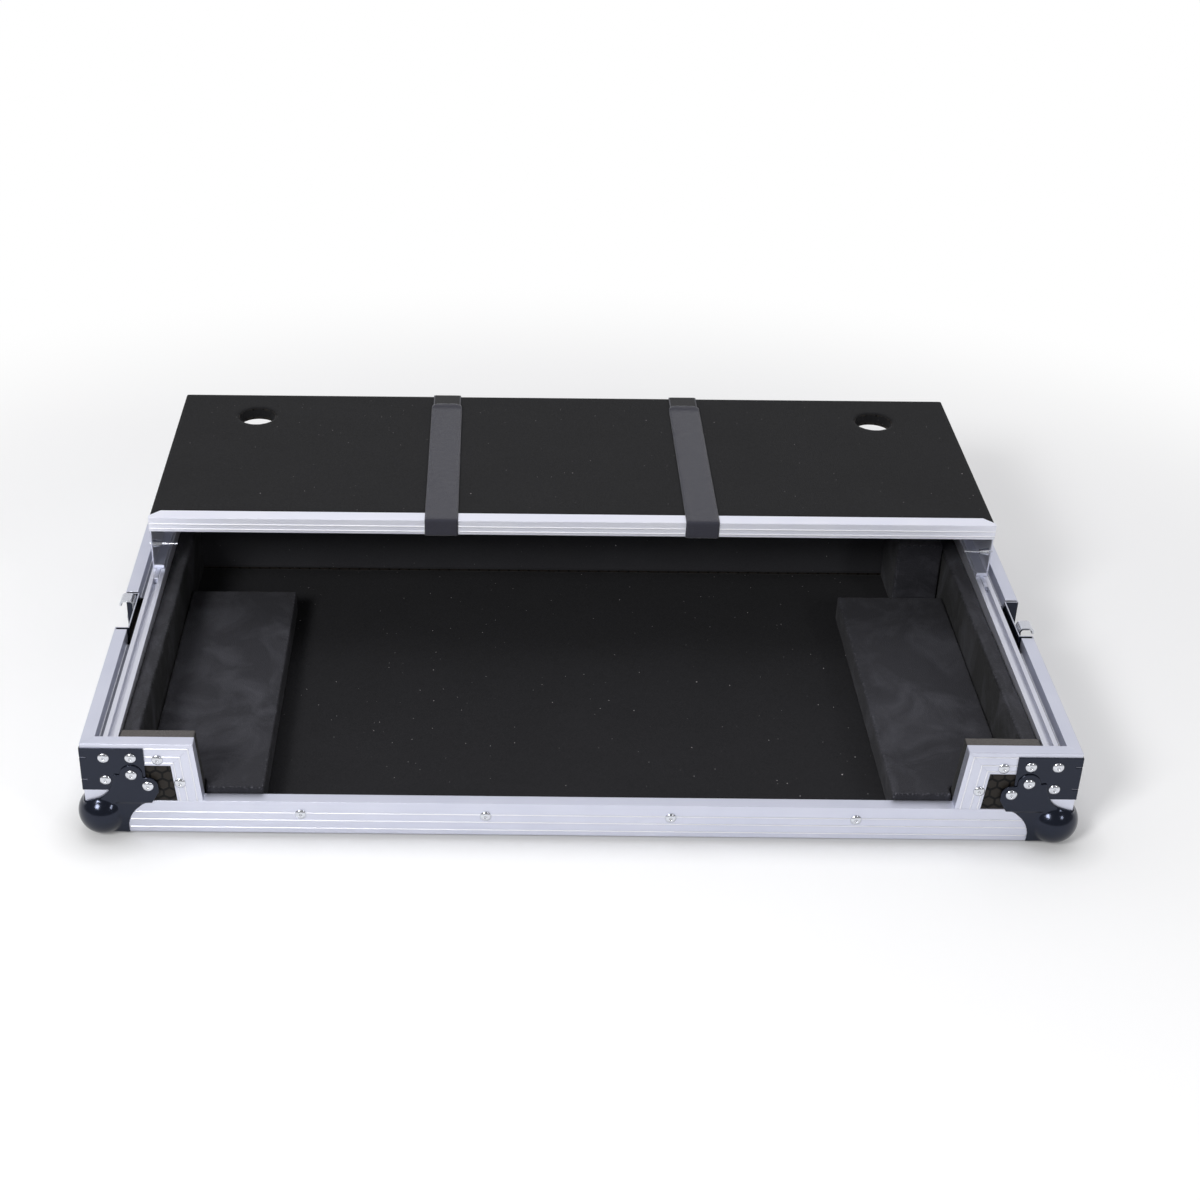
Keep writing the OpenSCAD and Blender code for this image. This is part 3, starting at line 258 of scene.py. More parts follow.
def cut_foam(name, dark, pale, dust, settling, smear=(38, 60, 30)):
    """Polyurethane foam, sawn to size: open pores, chalky smears where it was rubbed, pale torn edges, and
    dust that has settled on the faces that look up."""
    material, tree = new_material(name)
    pores = add(tree, "ShaderNodeTexVoronoi", {"Vector": in_mm(tree, 1.1, 1.1, 1.1), "Scale": 1.0})
    smears = add(tree, "ShaderNodeTexNoise", {
        "Vector": in_mm(tree, *smear), "Scale": 1.0, "Detail": 6.0, "Roughness": 0.62, "Distortion": 0.8})
    smeared = add(tree, "ShaderNodeMapRange", {
        "Value": smears.outputs[0], "From Min": 0.45, "From Max": 0.72})
    body = add(tree, "ShaderNodeMix", {
        0: smeared.outputs[0], 6: srgb(dark), 7: srgb(pale)}, data_type="RGBA")
    torn = add(tree, "ShaderNodeTexNoise", {
        "Vector": in_mm(tree, 2.2, 2.2, 2.2), "Scale": 1.0, "Detail": 3.0})
    corner = add(tree, "ShaderNodeNewGeometry")
    rim = add(tree, "ShaderNodeMapRange", {
        "Value": corner.outputs["Pointiness"], "From Min": 0.515, "From Max": 0.58})
    specks = add(tree, "ShaderNodeMapRange", {
        "Value": torn.outputs[0], "From Min": 0.52, "From Max": 0.68})
    frayed = add(tree, "ShaderNodeMath", {0: rim.outputs[0], 1: specks.outputs[0]}, operation="MULTIPLY")
    dusty = add(tree, "ShaderNodeMix", {
        0: frayed.outputs[0], 6: body.outputs[2], 7: srgb(dust)}, data_type="RGBA")
    facing = add(tree, "ShaderNodeSeparateXYZ", {"Vector": corner.outputs["Normal"]})
    settled = add(tree, "ShaderNodeMapRange", {
        "Value": facing.outputs[2], "From Min": 0.5, "From Max": 0.95, "To Max": settling})
    topped = add(tree, "ShaderNodeMix", {
        0: settled.outputs[0], 6: dusty.outputs[2], 7: srgb(dust)}, data_type="RGBA")
    # Painted shade: the colour darkens towards the middle of each pore, and the walls between are a little
    # lighter
    pore_shade_painted = add(tree, "ShaderNodeMapRange", {
        "Value": pores.outputs["Distance"], "From Max": 0.7, "To Min": 0.72, "To Max": 1.08})
    colour = add(tree, "ShaderNodeMix", {
        0: 1.0, 6: topped.outputs[2], 7: pore_shade_painted.outputs[0]}, data_type="RGBA", blend_type="MULTIPLY")
    relief = add(tree, "ShaderNodeBump", {
        "Height": pores.outputs["Distance"], "Strength": 0.7, "Distance": 0.0006})
    put_out(tree, add(tree, "ShaderNodeBsdfPrincipled", {
        "Base Color": colour.outputs[2], "Roughness": 0.95, "Specular IOR Level": 0.15,
        "Sheen Weight": 0.04, "Sheen Roughness": 0.6, "Normal": relief.outputs[0]}))
    return material


def lint_specks(tree, apart, radius, share):
    """Specks of lint, this far apart, this large as a share of that, and in this share of the places."""
    bits = add(tree, "ShaderNodeTexVoronoi", {"Vector": in_mm(tree, apart, apart, apart), "Scale": 1.0})
    size = add(tree, "ShaderNodeMapRange", {
        "Value": bits.outputs["Distance"], "From Min": 0.6 * radius, "From Max": radius,
        "To Min": 1.0, "To Max": 0.0})
    pick = add(tree, "ShaderNodeSeparateColor", {0: bits.outputs["Color"]})
    chosen = add(tree, "ShaderNodeMath", {0: pick.outputs[0], 1: share}, operation="LESS_THAN")
    amount = add(tree, "ShaderNodeMath", {0: size.outputs[0], 1: chosen.outputs[0]}, operation="MULTIPLY")
    pale = add(tree, "ShaderNodeMath", {0: amount.outputs[0], 1: pick.outputs[1]}, operation="MULTIPLY")
    return pale.outputs[0]


def pressed_fibre(name, dark, pale, lint, fibre, shine):
    """Needled fibres pressed into a thin sheet: tangled short strands, a soft bloom at grazing light and a
    little lint."""
    material, tree = new_material(name)
    strands = add(tree, "ShaderNodeTexNoise", {
        "Vector": in_mm(tree, fibre, 3 * fibre, fibre), "Scale": 1.0, "Detail": 5.0, "Roughness": 0.7,
        "Distortion": 1.2})
    wear = add(tree, "ShaderNodeTexNoise", {
        "Vector": in_mm(tree, 70, 70, 70), "Scale": 1.0, "Detail": 3.0})
    worn = add(tree, "ShaderNodeMapRange", {"Value": wear.outputs[0], "To Min": 0.4, "To Max": 0.6})
    mixed = add(tree, "ShaderNodeMath", {0: strands.outputs[0], 1: worn.outputs[0]}, operation="MULTIPLY")
    spread = add(tree, "ShaderNodeMapRange", {
        "Value": mixed.outputs[0], "From Min": 0.12, "From Max": 0.42})
    body = add(tree, "ShaderNodeMix", {
        0: spread.outputs[0], 6: srgb(dark), 7: srgb(pale)}, data_type="RGBA")
    few = lint_specks(tree, 17, 0.045, 0.3)
    many = lint_specks(tree, 4.5, 0.1, 0.12)
    bit = add(tree, "ShaderNodeMath", {0: few, 1: many}, operation="MAXIMUM")
    colour = add(tree, "ShaderNodeMix", {
        0: bit.outputs[0], 6: body.outputs[2], 7: srgb(lint)}, data_type="RGBA")
    relief = add(tree, "ShaderNodeBump", {
        "Height": strands.outputs[0], "Strength": 0.8, "Distance": 0.0006})
    put_out(tree, add(tree, "ShaderNodeBsdfPrincipled", {
        "Base Color": colour.outputs[2], "Roughness": 0.95, "Specular IOR Level": 0.1,
        "Sheen Weight": shine, "Sheen Roughness": 0.5, "Normal": relief.outputs[0]}))
    return material


def brushed_loop():
    """Nylon loop tape, knitted and brushed up: a fuzzy slate face with short rows across the strap."""
    material, tree = new_material("brushed_nylon_loop")
    loops = add(tree, "ShaderNodeTexNoise", {
        "Vector": in_mm(tree, 0.9, 0.6, 0.6), "Scale": 1.0, "Detail": 4.0, "Roughness": 0.7})
    colour = add(tree, "ShaderNodeMix", {
        0: loops.outputs[0], 6: srgb("#2b2b33"), 7: srgb("#464650")}, data_type="RGBA")
    relief = add(tree, "ShaderNodeBump", {
        "Height": loops.outputs[0], "Strength": 0.8, "Distance": 0.0005})
    put_out(tree, add(tree, "ShaderNodeBsdfPrincipled", {
        "Base Color": colour.outputs[2], "Roughness": 0.9, "Specular IOR Level": 0.2,
        "Sheen Weight": 0.4, "Sheen Roughness": 0.4, "Normal": relief.outputs[0]}))
    return material


def moulded_hooks():
    """Nylon hook tape, woven and cut: a bristly black field of hooks between two paler selvedges. Real hooks
    stand too close to show, so these are 1.6 mm apart."""
    material, tree = new_material("woven_nylon_hooks")
    hooks = add(tree, "ShaderNodeTexVoronoi", {
        "Vector": in_mm(tree, 1.6, 1.6, 1.6), "Scale": 1.0, "Randomness": 0.25})
    tip = add(tree, "ShaderNodeMapRange", {
        "Value": hooks.outputs["Distance"], "From Min": 0.15, "From Max": 0.5, "To Min": 1.0, "To Max": 0.0})
    field = add(tree, "ShaderNodeMix", {
        0: tip.outputs[0], 6: srgb("#0e0e10"), 7: srgb("#26262a")}, data_type="RGBA")
    place = add(tree, "ShaderNodeTexCoord")
    across = add(tree, "ShaderNodeSeparateXYZ", {"Vector": place.outputs["Generated"]})
    off = add(tree, "ShaderNodeMath", {0: across.outputs[0], 1: 0.5}, operation="SUBTRACT")
    aside = add(tree, "ShaderNodeMath", {0: off.outputs[0]}, operation="ABSOLUTE")
    selvedge = add(tree, "ShaderNodeMath", {0: aside.outputs[0], 1: 0.455}, operation="GREATER_THAN")
    colour = add(tree, "ShaderNodeMix", {
        0: selvedge.outputs[0], 6: field.outputs[2], 7: srgb("#56565c")}, data_type="RGBA")
    relief = add(tree, "ShaderNodeBump", {"Height": tip.outputs[0], "Strength": 0.9, "Distance": 0.0006})
    put_out(tree, add(tree, "ShaderNodeBsdfPrincipled", {
        "Base Color": colour.outputs[2], "Roughness": 0.6, "Normal": relief.outputs[0]}))
    return material


ALUMINIUM_X = extruded_aluminium("satin_aluminium_drawn_along_x", (90, 0.9, 0.9))
# A paler, rougher and less metallic copy of the bar aluminium: its extra pallor is painted light, lifting the
# nosing's front face
NOSING_ALUMINIUM = extruded_aluminium(
    "nosing_aluminium_painted_lighter", (90, 1.2, 1.2), "#f7f8ff", "#e9ebfa", (0.5, 0.62), 0.45)
ALUMINIUM_Y = extruded_aluminium("satin_aluminium_drawn_along_y", (0.9, 90, 0.9), "#e3e5f0", "#d5d8e6")
ALUMINIUM_Z = extruded_aluminium("satin_aluminium_drawn_upright", (0.9, 0.9, 90))
SLIDE_ALUMINIUM = extruded_aluminium("slide_rail_aluminium", (0.8, 90, 0.8), "#e6e7ef", "#d6d8e2")
BLACK_STEEL = black_steel_coat("blue_black_coated_steel")
DISH_STEEL = black_steel_coat("blue_black_dish_steel", 95.5)
BRIGHT_STEEL = bright_plated_steel()
LAMINATE_FRONT = hexagon_laminate("honeycomb_laminate_front", "X", "Z")
LAMINATE_SIDE = hexagon_laminate("honeycomb_laminate_side", "Y", "Z")
LAMINATE_UNDER = hexagon_laminate("honeycomb_laminate_underside", "X", "Y")
PLYWOOD = stained_plywood()
# The side foam's dark colour is partly the foam's own charcoal and partly painted shade, for the inner faces
# that look away from the front lamp
FOAM = cut_foam("sawn_charcoal_foam_darkened_for_shade", "#101012", "#37373d", "#55555c", 0.3, (14, 40, 60))
BLOCK_FOAM = cut_foam("rubbed_charcoal_foam", "#29292e", "#414147", "#66666d", 0.06, (46, 60, 30))
DUSTY_FOAM = cut_foam("dusty_foam", "#1c1c1d", "#2b2a2a", "#5e5b59", 0.95)
FELT = pressed_fibre("pressed_black_felt", "#19191b", "#2a2a2d", "#d9d4d6", 1.0, 0.05)
# A paler copy of the floor felt: the extra lightness is painted light, for the rear wall that lies in deep
# shade under the shelf
WALL_FELT = pressed_fibre("black_felt_painted_lighter", "#2c2c2f", "#454549", "#d9d4d6", 0.8, 0.05)
CARPET = pressed_fibre("needled_black_carpet", "#19191a", "#29292b", "#a8a0a4", 1.3, 0.05)
# The lid groove's floor is painted dark grey: painted shade, for the shade deep in the narrow groove
SHADED_GROOVE_ALUMINIUM = extruded_aluminium("groove_aluminium_painted_shade", (0.9, 90, 0.9), "#8e9099", "#7b7d87")
LOOP = brushed_loop()
HOOKS = moulded_hooks()

# The solids that stay in view, by their finish
FINISHES = {
    ALUMINIUM_X: "front_edge rear_edge left_post_top_trim right_post_top_trim rear_rim",
    NOSING_ALUMINIUM: "shelf_nosing",
    ALUMINIUM_Y: "left_edge right_edge left_rim_front left_rim_rear right_rim_front right_rim_rear "
                 "left_bracket right_bracket runners",
    ALUMINIUM_Z: "left_post_side_trim right_post_side_trim corner_edges",
    SLIDE_ALUMINIUM: "left_rail right_rail",
    BLACK_STEEL: "corner_braces",
    DISH_STEEL: "left_latch_dish right_latch_dish",
    BRIGHT_STEEL: "left_latch_cam right_latch_cam left_latch_wing right_latch_wing left_latch_hook "
                  "right_latch_hook shelf_screws left_lock_pin right_lock_pin pin_sleeves",
    LAMINATE_FRONT: "front_panel rear_panel",
    LAMINATE_SIDE: "left_panel right_panel",
    LAMINATE_UNDER: "floor_panel shelf_board",
    PLYWOOD: "battens left_inner_wall right_inner_wall",
}


def finish_nodes():
    """Gives every solid that stays its own finish."""
    for material, names in FINISHES.items():
        for name in names.split():
            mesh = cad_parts[name].data
            mesh.materials.clear()
            mesh.materials.append(material)


# Pieces

# Points closer together than this are welded into one, in metres
WELD_GAP = 0.00001


def clamped(share):
    """A share, kept between none and all."""
    return max(0.0, min(1.0, share))


def plain_object(name, points, faces):
    """An object with a bare mesh."""
    mesh = bpy.data.meshes.new(name)
    mesh.from_pydata([tuple(p) for p in points], [], faces)
    obj = bpy.data.objects.new(name, mesh)
    bpy.context.scene.collection.objects.link(obj)
    return obj


def new_piece(name, points, faces, material, body, slot, *nodes, smooth=True):
    """A mesh that moves with a body and stands for these solids."""
    obj = plain_object(name, points, faces)
    obj.data.validate()
    obj.data.materials.append(material)
    for face in obj.data.polygons:
        face.use_smooth = smooth
    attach(obj, body)
    if nodes:
        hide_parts(*nodes)
    return obj


def form_of(mesh):
    """The points and faces of a mesh."""
    return [v.co.copy() for v in mesh.vertices], [tuple(p.vertices) for p in mesh.polygons]


def joined_form(*forms):
    """Several forms, each given as its points and its faces, as one."""
    points, faces = [], []
    for more_points, more_faces in forms:
        start = len(points)
        points += more_points
        faces += [tuple(start + i for i in face) for face in more_faces]
    return points, faces


def fine_squares(draft, voxel, rounds):
    """Has a draft cut into squares of this size and softened at its edges, this many times."""
    squares = draft.modifiers.new("squares", "REMESH")
    squares.mode, squares.voxel_size = "VOXEL", voxel
    if rounds:
        soft = draft.modifiers.new("soft", "SMOOTH")
        soft.factor, soft.iterations = 0.5, rounds


def finished_mesh(draft):
    """The mesh that its modifiers make of a draft, which is then removed."""
    made = draft.evaluated_get(bpy.context.evaluated_depsgraph_get())
    mesh = bpy.data.meshes.new_from_object(made)
    bpy.data.objects.remove(draft)
    return mesh


def worked_shape(node, voxel, rounds, joined_to=((), ())):
    """A solid's own shape, cut into fine squares and softened at its edges: its points and faces. Another
    form may be joined to it first."""
    solid = form_of(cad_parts[node].data)
    draft = plain_object(node + "_draft", *joined_form(solid, joined_to))
    weld = draft.modifiers.new("weld", "WELD")
    weld.merge_threshold = WELD_GAP
    fine_squares(draft, voxel, rounds)
    return form_of(finished_mesh(draft))


def worked_copy(name, node, voxel, rounds, material, slot):
    """A solid's worked shape, as one piece of the case that stands for it."""
    return new_piece(name, *worked_shape(node, voxel, rounds), material, "case", slot, node)


def uneven(obj, depth, size, seed):
    """Sinks the surface by up to this depth, in hollows of this size, as a saw or a hand leaves it."""
    mesh = obj.data
    shift = Vector((seed * 3.1, seed * 1.7, seed * 5.3))
    normals = [v.normal.copy() for v in mesh.vertices]
    for vertex, normal in zip(mesh.vertices, normals):
        level = 0.5 + 0.5 * noise.noise(vertex.co / size + shift)
        fine = 0.5 + 0.5 * noise.noise(vertex.co / (size * 0.18) + shift)
        vertex.co -= normal * depth * (0.7 * level + 0.3 * fine)


# Each length of foam, with the size of its squares in metres, its rounds of softening and its material
FOAM_CUTS = [
    ("left_side_foam", 0.0026, 2, FOAM), ("right_side_foam", 0.0026, 2, FOAM),
    ("left_post_foam", 0.0018, 2, DUSTY_FOAM), ("right_post_foam", 0.0018, 2, DUSTY_FOAM),
    ("left_foam_block", 0.0022, 2, BLOCK_FOAM), ("right_foam_block", 0.0022, 2, BLOCK_FOAM),
    ("corner_pad", 0.0018, 6, BLOCK_FOAM)]

# The top of a post's foam swells by this much, growing over the next measure up from the last, in metres
POST_SWELL, POST_SWELL_OVER, POST_SWELL_FROM = 0.0034, 0.006, at(0, 0, 78).z


def foam_pieces():
    """Each length of foam, sawn a little wavy. Behind the posts it swells, flush with their trim."""
    for seed, (node, voxel, rounds, material) in enumerate(FOAM_CUTS):
        obj = worked_copy("sawn_" + node, node, voxel, rounds, material, "foam")
        if material is DUSTY_FOAM:
            for vertex in obj.data.vertices:
                vertex.co.z += POST_SWELL * clamped((vertex.co.z - POST_SWELL_FROM) / POST_SWELL_OVER)
        uneven(obj, 0.0009, 0.014, seed)


def felt_pieces():
    """Felt glued to the floor and the rear wall, not quite flat."""
    floor = worked_copy("glued_floor_felt", "floor_felt", 0.0028, 0, FELT, "felt")
    uneven(floor, 0.0006, 0.05, 11)
    wall = worked_copy("glued_rear_felt", "rear_felt", 0.0029, 0, WALL_FELT, "felt")
    uneven(wall, 0.0006, 0.05, 12)


def tube_faces(rings, size):
    """The faces between this many rings of this many points, and those that close both ends."""
    faces = []
    for ring in range(rings - 1):
        for i in range(size):
            j = (i + 1) % size
            faces.append((ring * size + i, ring * size + j, (ring + 1) * size + j, (ring + 1) * size + i))
    faces.append(tuple(range(size))[::-1])
    faces.append(tuple((rings - 1) * size + i for i in range(size)))
    return faces


def turned(profile, turns):
    """A profile of radius and height in millimetres, spun about Z: its points and faces."""
    points = []
    for r, h in profile:
        for i in range(turns):
            a = 2 * math.pi * i / turns
            points.append(Vector((r * math.cos(a), r * math.sin(a), h)) / 1000)
    return points, tube_faces(len(profile), turns)


def loose_parts(mesh):
    """The separate solids of one node, as lists of points."""
    owner = {}
    for v in mesh.vertices:
        owner.setdefault(tuple(round(c, 6) for c in v.co), []).append(v.index)
    group = list(range(len(mesh.vertices)))

    def top(i):
        while group[i] != i:
            group[i] = group[group[i]]
            i = group[i]
        return i

    for same in owner.values():
        for i in same[1:]:
            group[top(i)] = top(same[0])
    for edge in mesh.edges:
        group[top(edge.vertices[0])] = top(edge.vertices[1])
    parts = {}
    for v in mesh.vertices:
        parts.setdefault(top(v.index), []).append(v.co.copy())
    return list(parts.values())


# Radius and height of a blind rivet's head, with the broken end of its mandrel in the middle
RIVET_HEAD = [
    (2.0, -0.6), (4.85, -0.02), (5.0, 0.12), (4.98, 0.4), (4.75, 0.8), (4.2, 1.22), (3.4, 1.62), (2.5, 1.88),
    (1.8, 1.98), (1.55, 1.96), (1.35, 1.82), (1.2, 1.45), (0.85, 1.4), (0.55, 1.58), (0.2, 1.66)]

# How far a head reaches out of the case, and the least by which it is known to, in metres
RIVET_REACH, RIVET_LEAST = 0.002, 0.0005


def rivet_heads(name, node):
    """Blind rivets, pulled up tight: a domed head with a small groove round the mandrel, darkened by
    its own shade and by painted shade.
    """
    head, rings = turned(RIVET_HEAD, 28)
    front, rear = at(0, 0, 0).y, at(0, CASE_DEPTH, 0).y
    heads = []
    for part in loose_parts(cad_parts[node].data):
        low = Vector([min(p[i] for p in part) for i in range(3)])
        high = Vector([max(p[i] for p in part) for i in range(3)])
        middle = (low + high) / 2
        if low.y < front - RIVET_LEAST:
            way, tip = Vector((0, -1, 0)), Vector((middle.x, low.y, middle.z))
        elif high.y > rear + RIVET_LEAST:
            way, tip = Vector((0, 1, 0)), Vector((middle.x, high.y, middle.z))
        elif middle.x < 0:
            way, tip = Vector((-1, 0, 0)), Vector((low.x, middle.y, middle.z))
        else:
            way, tip = Vector((1, 0, 0)), Vector((high.x, middle.y, middle.z))
        turn = way.to_track_quat("Z", "Y")
        seat = tip - way * RIVET_REACH
        heads.append(([turn @ p + seat for p in head], rings))
    return new_piece(name, *joined_form(*heads), BRIGHT_STEEL, "case", "bright_steel", node)


# The middle and radius of the front right ball, in millimetres: it is fuller than the solid it stands for
BALL_MIDDLE, BALL_RADIUS = (412.5, 10, 16.6), 21.6

# The ball flows into its leaves out to this far from its middle, fading over the second measure, in metres
FLOW_OUT_TO, FLOW_FADE = 0.026, 0.010


def proud_ball():
    """The front right ball, as far as it stands out of the case's corner: its points and faces."""
    turns, rows = 96, 48
    angles = [math.pi * (row + 0.5) / rows for row in range(rows)]
    points, faces = turned([(BALL_RADIUS * math.sin(a), -BALL_RADIUS * math.cos(a)) for a in angles], turns)
    whole = plain_object("whole_ball", [p + at(*BALL_MIDDLE) for p in points], faces)
    low, high = at(300, 1, 1), at(423.5, 90, 90)
    corners = [(x, y, z) for x in (low.x, high.x) for y in (low.y, high.y) for z in (low.z, high.z)]
    inside = plain_object("case_corner", corners, [
        (0, 1, 3, 2), (4, 6, 7, 5), (0, 4, 5, 1), (2, 3, 7, 6), (0, 2, 6, 4), (1, 5, 7, 3)])
    cut = whole.modifiers.new("cut", "BOOLEAN")
    cut.operation, cut.solver, cut.object = "DIFFERENCE", "EXACT", inside
    shape = finished_mesh(whole)
    bpy.data.objects.remove(inside)
    return form_of(shape)


def ball_corners():
    """Pressed ball corners: the ball runs into its leaves with a soft curve and the edges are rolled over."""
    points, faces = worked_shape("front_right_ball_corner", 0.0008, 6, proud_ball())
    draft = plain_object("ball_corner_draft", points, faces)
    near = draft.vertex_groups.new(name="near_the_ball")
    ball = at(*BALL_MIDDLE)
    for i, p in enumerate(points):
        reach = 1 - clamped(((p - ball).length - FLOW_OUT_TO) / FLOW_FADE)
        if reach > 0:
            near.add([i], reach, "REPLACE")
    flow = draft.modifiers.new("flow", "SMOOTH")
    flow.factor, flow.iterations, flow.vertex_group = 0.5, 28, near.name
    thin = draft.modifiers.new("thin", "DECIMATE")
    thin.decimate_type, thin.angle_limit = "DISSOLVE", math.radians(1.0)
    points, faces = form_of(finished_mesh(draft))
    # No point is lower than a tenth of a millimetre over the table
    lowest = at(0, 0, 0.1 - CASE_LIFT).z
    middle = at(0, CASE_DEPTH / 2, 0).y
    for name, x, y in (
            ("front_right", 1, 1), ("front_left", -1, 1), ("rear_left", -1, -1), ("rear_right", 1, -1)):
        moved = [Vector((p.x * x, middle + (p.y - middle) * y, max(p.z, lowest))) for p in points]
        facing = [f[::-1] for f in faces] if x * y < 0 else faces
        new_piece("pressed_%s_ball_corner" % name, moved, facing, BLACK_STEEL, "case", "black_steel",
                  "%s_ball_corner" % name)


# The section of the lid groove's floor, which turns up at both edges, and where each of its lengths runs
GROOVE_SECTION = [(413.9, 81.4), (412.9, 80.2), (407.6, 80.2), (406.4, 81.4), (406.4, 79.0), (413.9, 79.0)]
GROOVE_LENGTHS = [("front", 11.4, 175.3), ("rear", 259.7, 433.4)]


def lid_grooves():
    """The floor of the groove that the lid's tongue drops into, between each side rim and its slide rail."""
    for side_name, side in (("left", -1), ("right", 1)):
        for part, start, end in GROOVE_LENGTHS:
            points = [at(side * x, y, z) for y in (start, end) for x, z in GROOVE_SECTION]
            faces = tube_faces(2, len(GROOVE_SECTION))
            if side < 0:
                faces = [f[::-1] for f in faces]
            new_piece("%s_lid_groove_%s" % (side_name, part), points, faces, SHADED_GROOVE_ALUMINIUM, "case",
                      "aluminium", smooth=False)


def shelf_carpet():
    """Carpet folded round the shelf's board and tucked into its cable holes."""
    draft = plain_object("wrap_draft", *joined_form(
        *[form_of(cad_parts[node].data) for node in ("shelf_carpet", "shelf_board")]))
    fine_squares(draft, 0.0022, 2)
    shape = finished_mesh(draft)
    # The skin ends at the board's lower edge and, at the front, at the nosing
    hem, nosing_rear, nosing_lip = at(0, 0, 137.5).z, at(0, 294.6, 0).y, at(0, 0, 147.5).z
    skin = []
    for p in shape.polygons:
        if p.center.z > hem and not (p.center.y < nosing_rear and p.center.z < nosing_lip):
            skin.append(tuple(p.vertices))
    used = sorted({i for f in skin for i in f})
    place = {i: n for n, i in enumerate(used)}
    points = [shape.vertices[i].co.copy() for i in used]
    faces = [tuple(place[i] for i in f) for f in skin]
    obj = new_piece("wrapped_shelf_carpet", points, faces, CARPET, "shelf", "carpet", "shelf_carpet")
    thick = obj.modifiers.new("thick", "SOLIDIFY")
    thick.thickness, thick.offset = 0.0012, -1.0


def strap_width(step, total, round_end):
    """How wide a strap is at this step, as a share: its last steps may close to a round end."""
    last = 7
    if not round_end or step < total - last:
        return 1.0
    t = (step - (total - last)) / last
    return math.sqrt(max(0.0, 1 - t * t)) * 0.75 + 0.25


def ribbon(name, path, half, thick, material, slot, node, seed=0, skew=0.0, round_end=False, fuzz=0.0):
    """A flat strap with soft selvedges, in millimetres. Each step of its path is a place, and the shares of Y
    and Z in the way out of its face. It drifts sideways by the skew, and fuzz roughens both faces."""
    across = 14
    points = []
    for n, (x, y, z, out_y, out_z) in enumerate(path):
        width = half * strap_width(n, len(path), round_end)
        for side, steps in ((1, range(across + 1)), (-1, range(across, -1, -1))):
            for i in steps:
                u = -1 + 2 * i / across
                edge = 1 - max(0.0, (abs(u) - 0.86) / 0.14) ** 2 * 0.75
                lift = side * thick / 2 * edge
                if fuzz:
                    lift += fuzz * noise.noise(Vector((n * 0.7 + seed * 9, i * 0.9, side * 3.0)))
                points.append(at(x + u * width + skew * n / len(path), y + out_y * lift, z + out_z * lift))
    faces = tube_faces(len(path), 2 * (across + 1))
    return new_piece(name, points, faces, material, "shelf", slot, node)


def strap_bend(x, y, z, angles):
    """Steps round an edge at this place, at these angles from straight down towards the front."""
    ways = [(-math.sin(math.radians(a)), -math.cos(math.radians(a))) for a in angles]
    return [(x, y + 1.2 * out_y, z + 1.2 * out_z, out_y, out_z) for out_y, out_z in ways]


def shelf_straps():
    """Two loop straps that come from under the shelf, turn over its front and lie on its top."""
    straps = (("left_loop_strap", -125.0, 0.0), ("right_loop_strap", 125.0, 2.0))
    for seed, (name, x, skew) in enumerate(straps):
        path = [(x, y, 134.2, 0, -1) for y in range(320, 294, -3)]
        path += strap_bend(x, 292.9, 135.4, (15, 40, 65, 90))
        path += [(x, 291.7, z, -1, 0) for z in range(138, 149, 3)]
        path += strap_bend(x, 292.9, 149.6, (90, 115, 140, 165))
        path += [(x, y, 150.85, 0, 1) for y in range(294, 536, 3)]
        # The end closes in shorter and shorter steps, and rises onto the hook tape
        for i, y in enumerate((537, 538.5, 540, 541.5, 543, 544.3, 545.3, 546.0)):
            path.append((x, y, 150.95 + min(1.0, i * 0.28), 0, 1))
        obj = ribbon(name, path, 16.0, 1.6, LOOP, "webbing", "straps", seed, skew, True, 0.25)


def hook_tapes():
    """Hook tape sewn to the rear of the shelf, with a plain selvedge along both sides."""
    for name, x in (("left_hook_tape", -125.0), ("right_hook_tape", 127.0)):
        path = [(x, 536 + i * 2.0, 150.5, 0, 1) for i in range(18)]
        obj = ribbon(name, path, 14.5, 1.0, HOOKS, "hook_tape", "hook_tapes")


# The photographer's table

# Half the side of the table's square top, in metres
TABLE_HALF = 9

# Name, place and size in metres, and power in watts. Every lamp points at the middle of the case
LAMPS = [
    ("front_left_softbox", (-1.25, -2.05, 1.75), (0.7, 0.7), 47),
    ("front_right_softbox", (1.35, -1.65, 1.15), (0.3, 0.3), 5),
    ("overhead_softbox", (-0.2, 0.3, 2.5), (1.4, 1.0), 9)]
LAMPS_POINT_AT = (0, 0, 0.05)

# How bright the room is before the table and behind it
ROOM_FRONT, ROOM_BACK = 0.24, 0.78

# The camera that was fitted to the photograph: the picture's side, the focal length and the column of the
# axis in pixels, its turns in radians, its place in the case's own millimetres, and a usual sensor's width
PHOTO_SIDE, FOCAL_LENGTH, AXIS_COLUMN = 1200, 1990.05, 479.2
PITCH, YAW, ROLL = 0.5429, 0.0041, 0.0078
EYE = (-81.335, -1376.875, 1068.923)
SENSOR_MM = 36


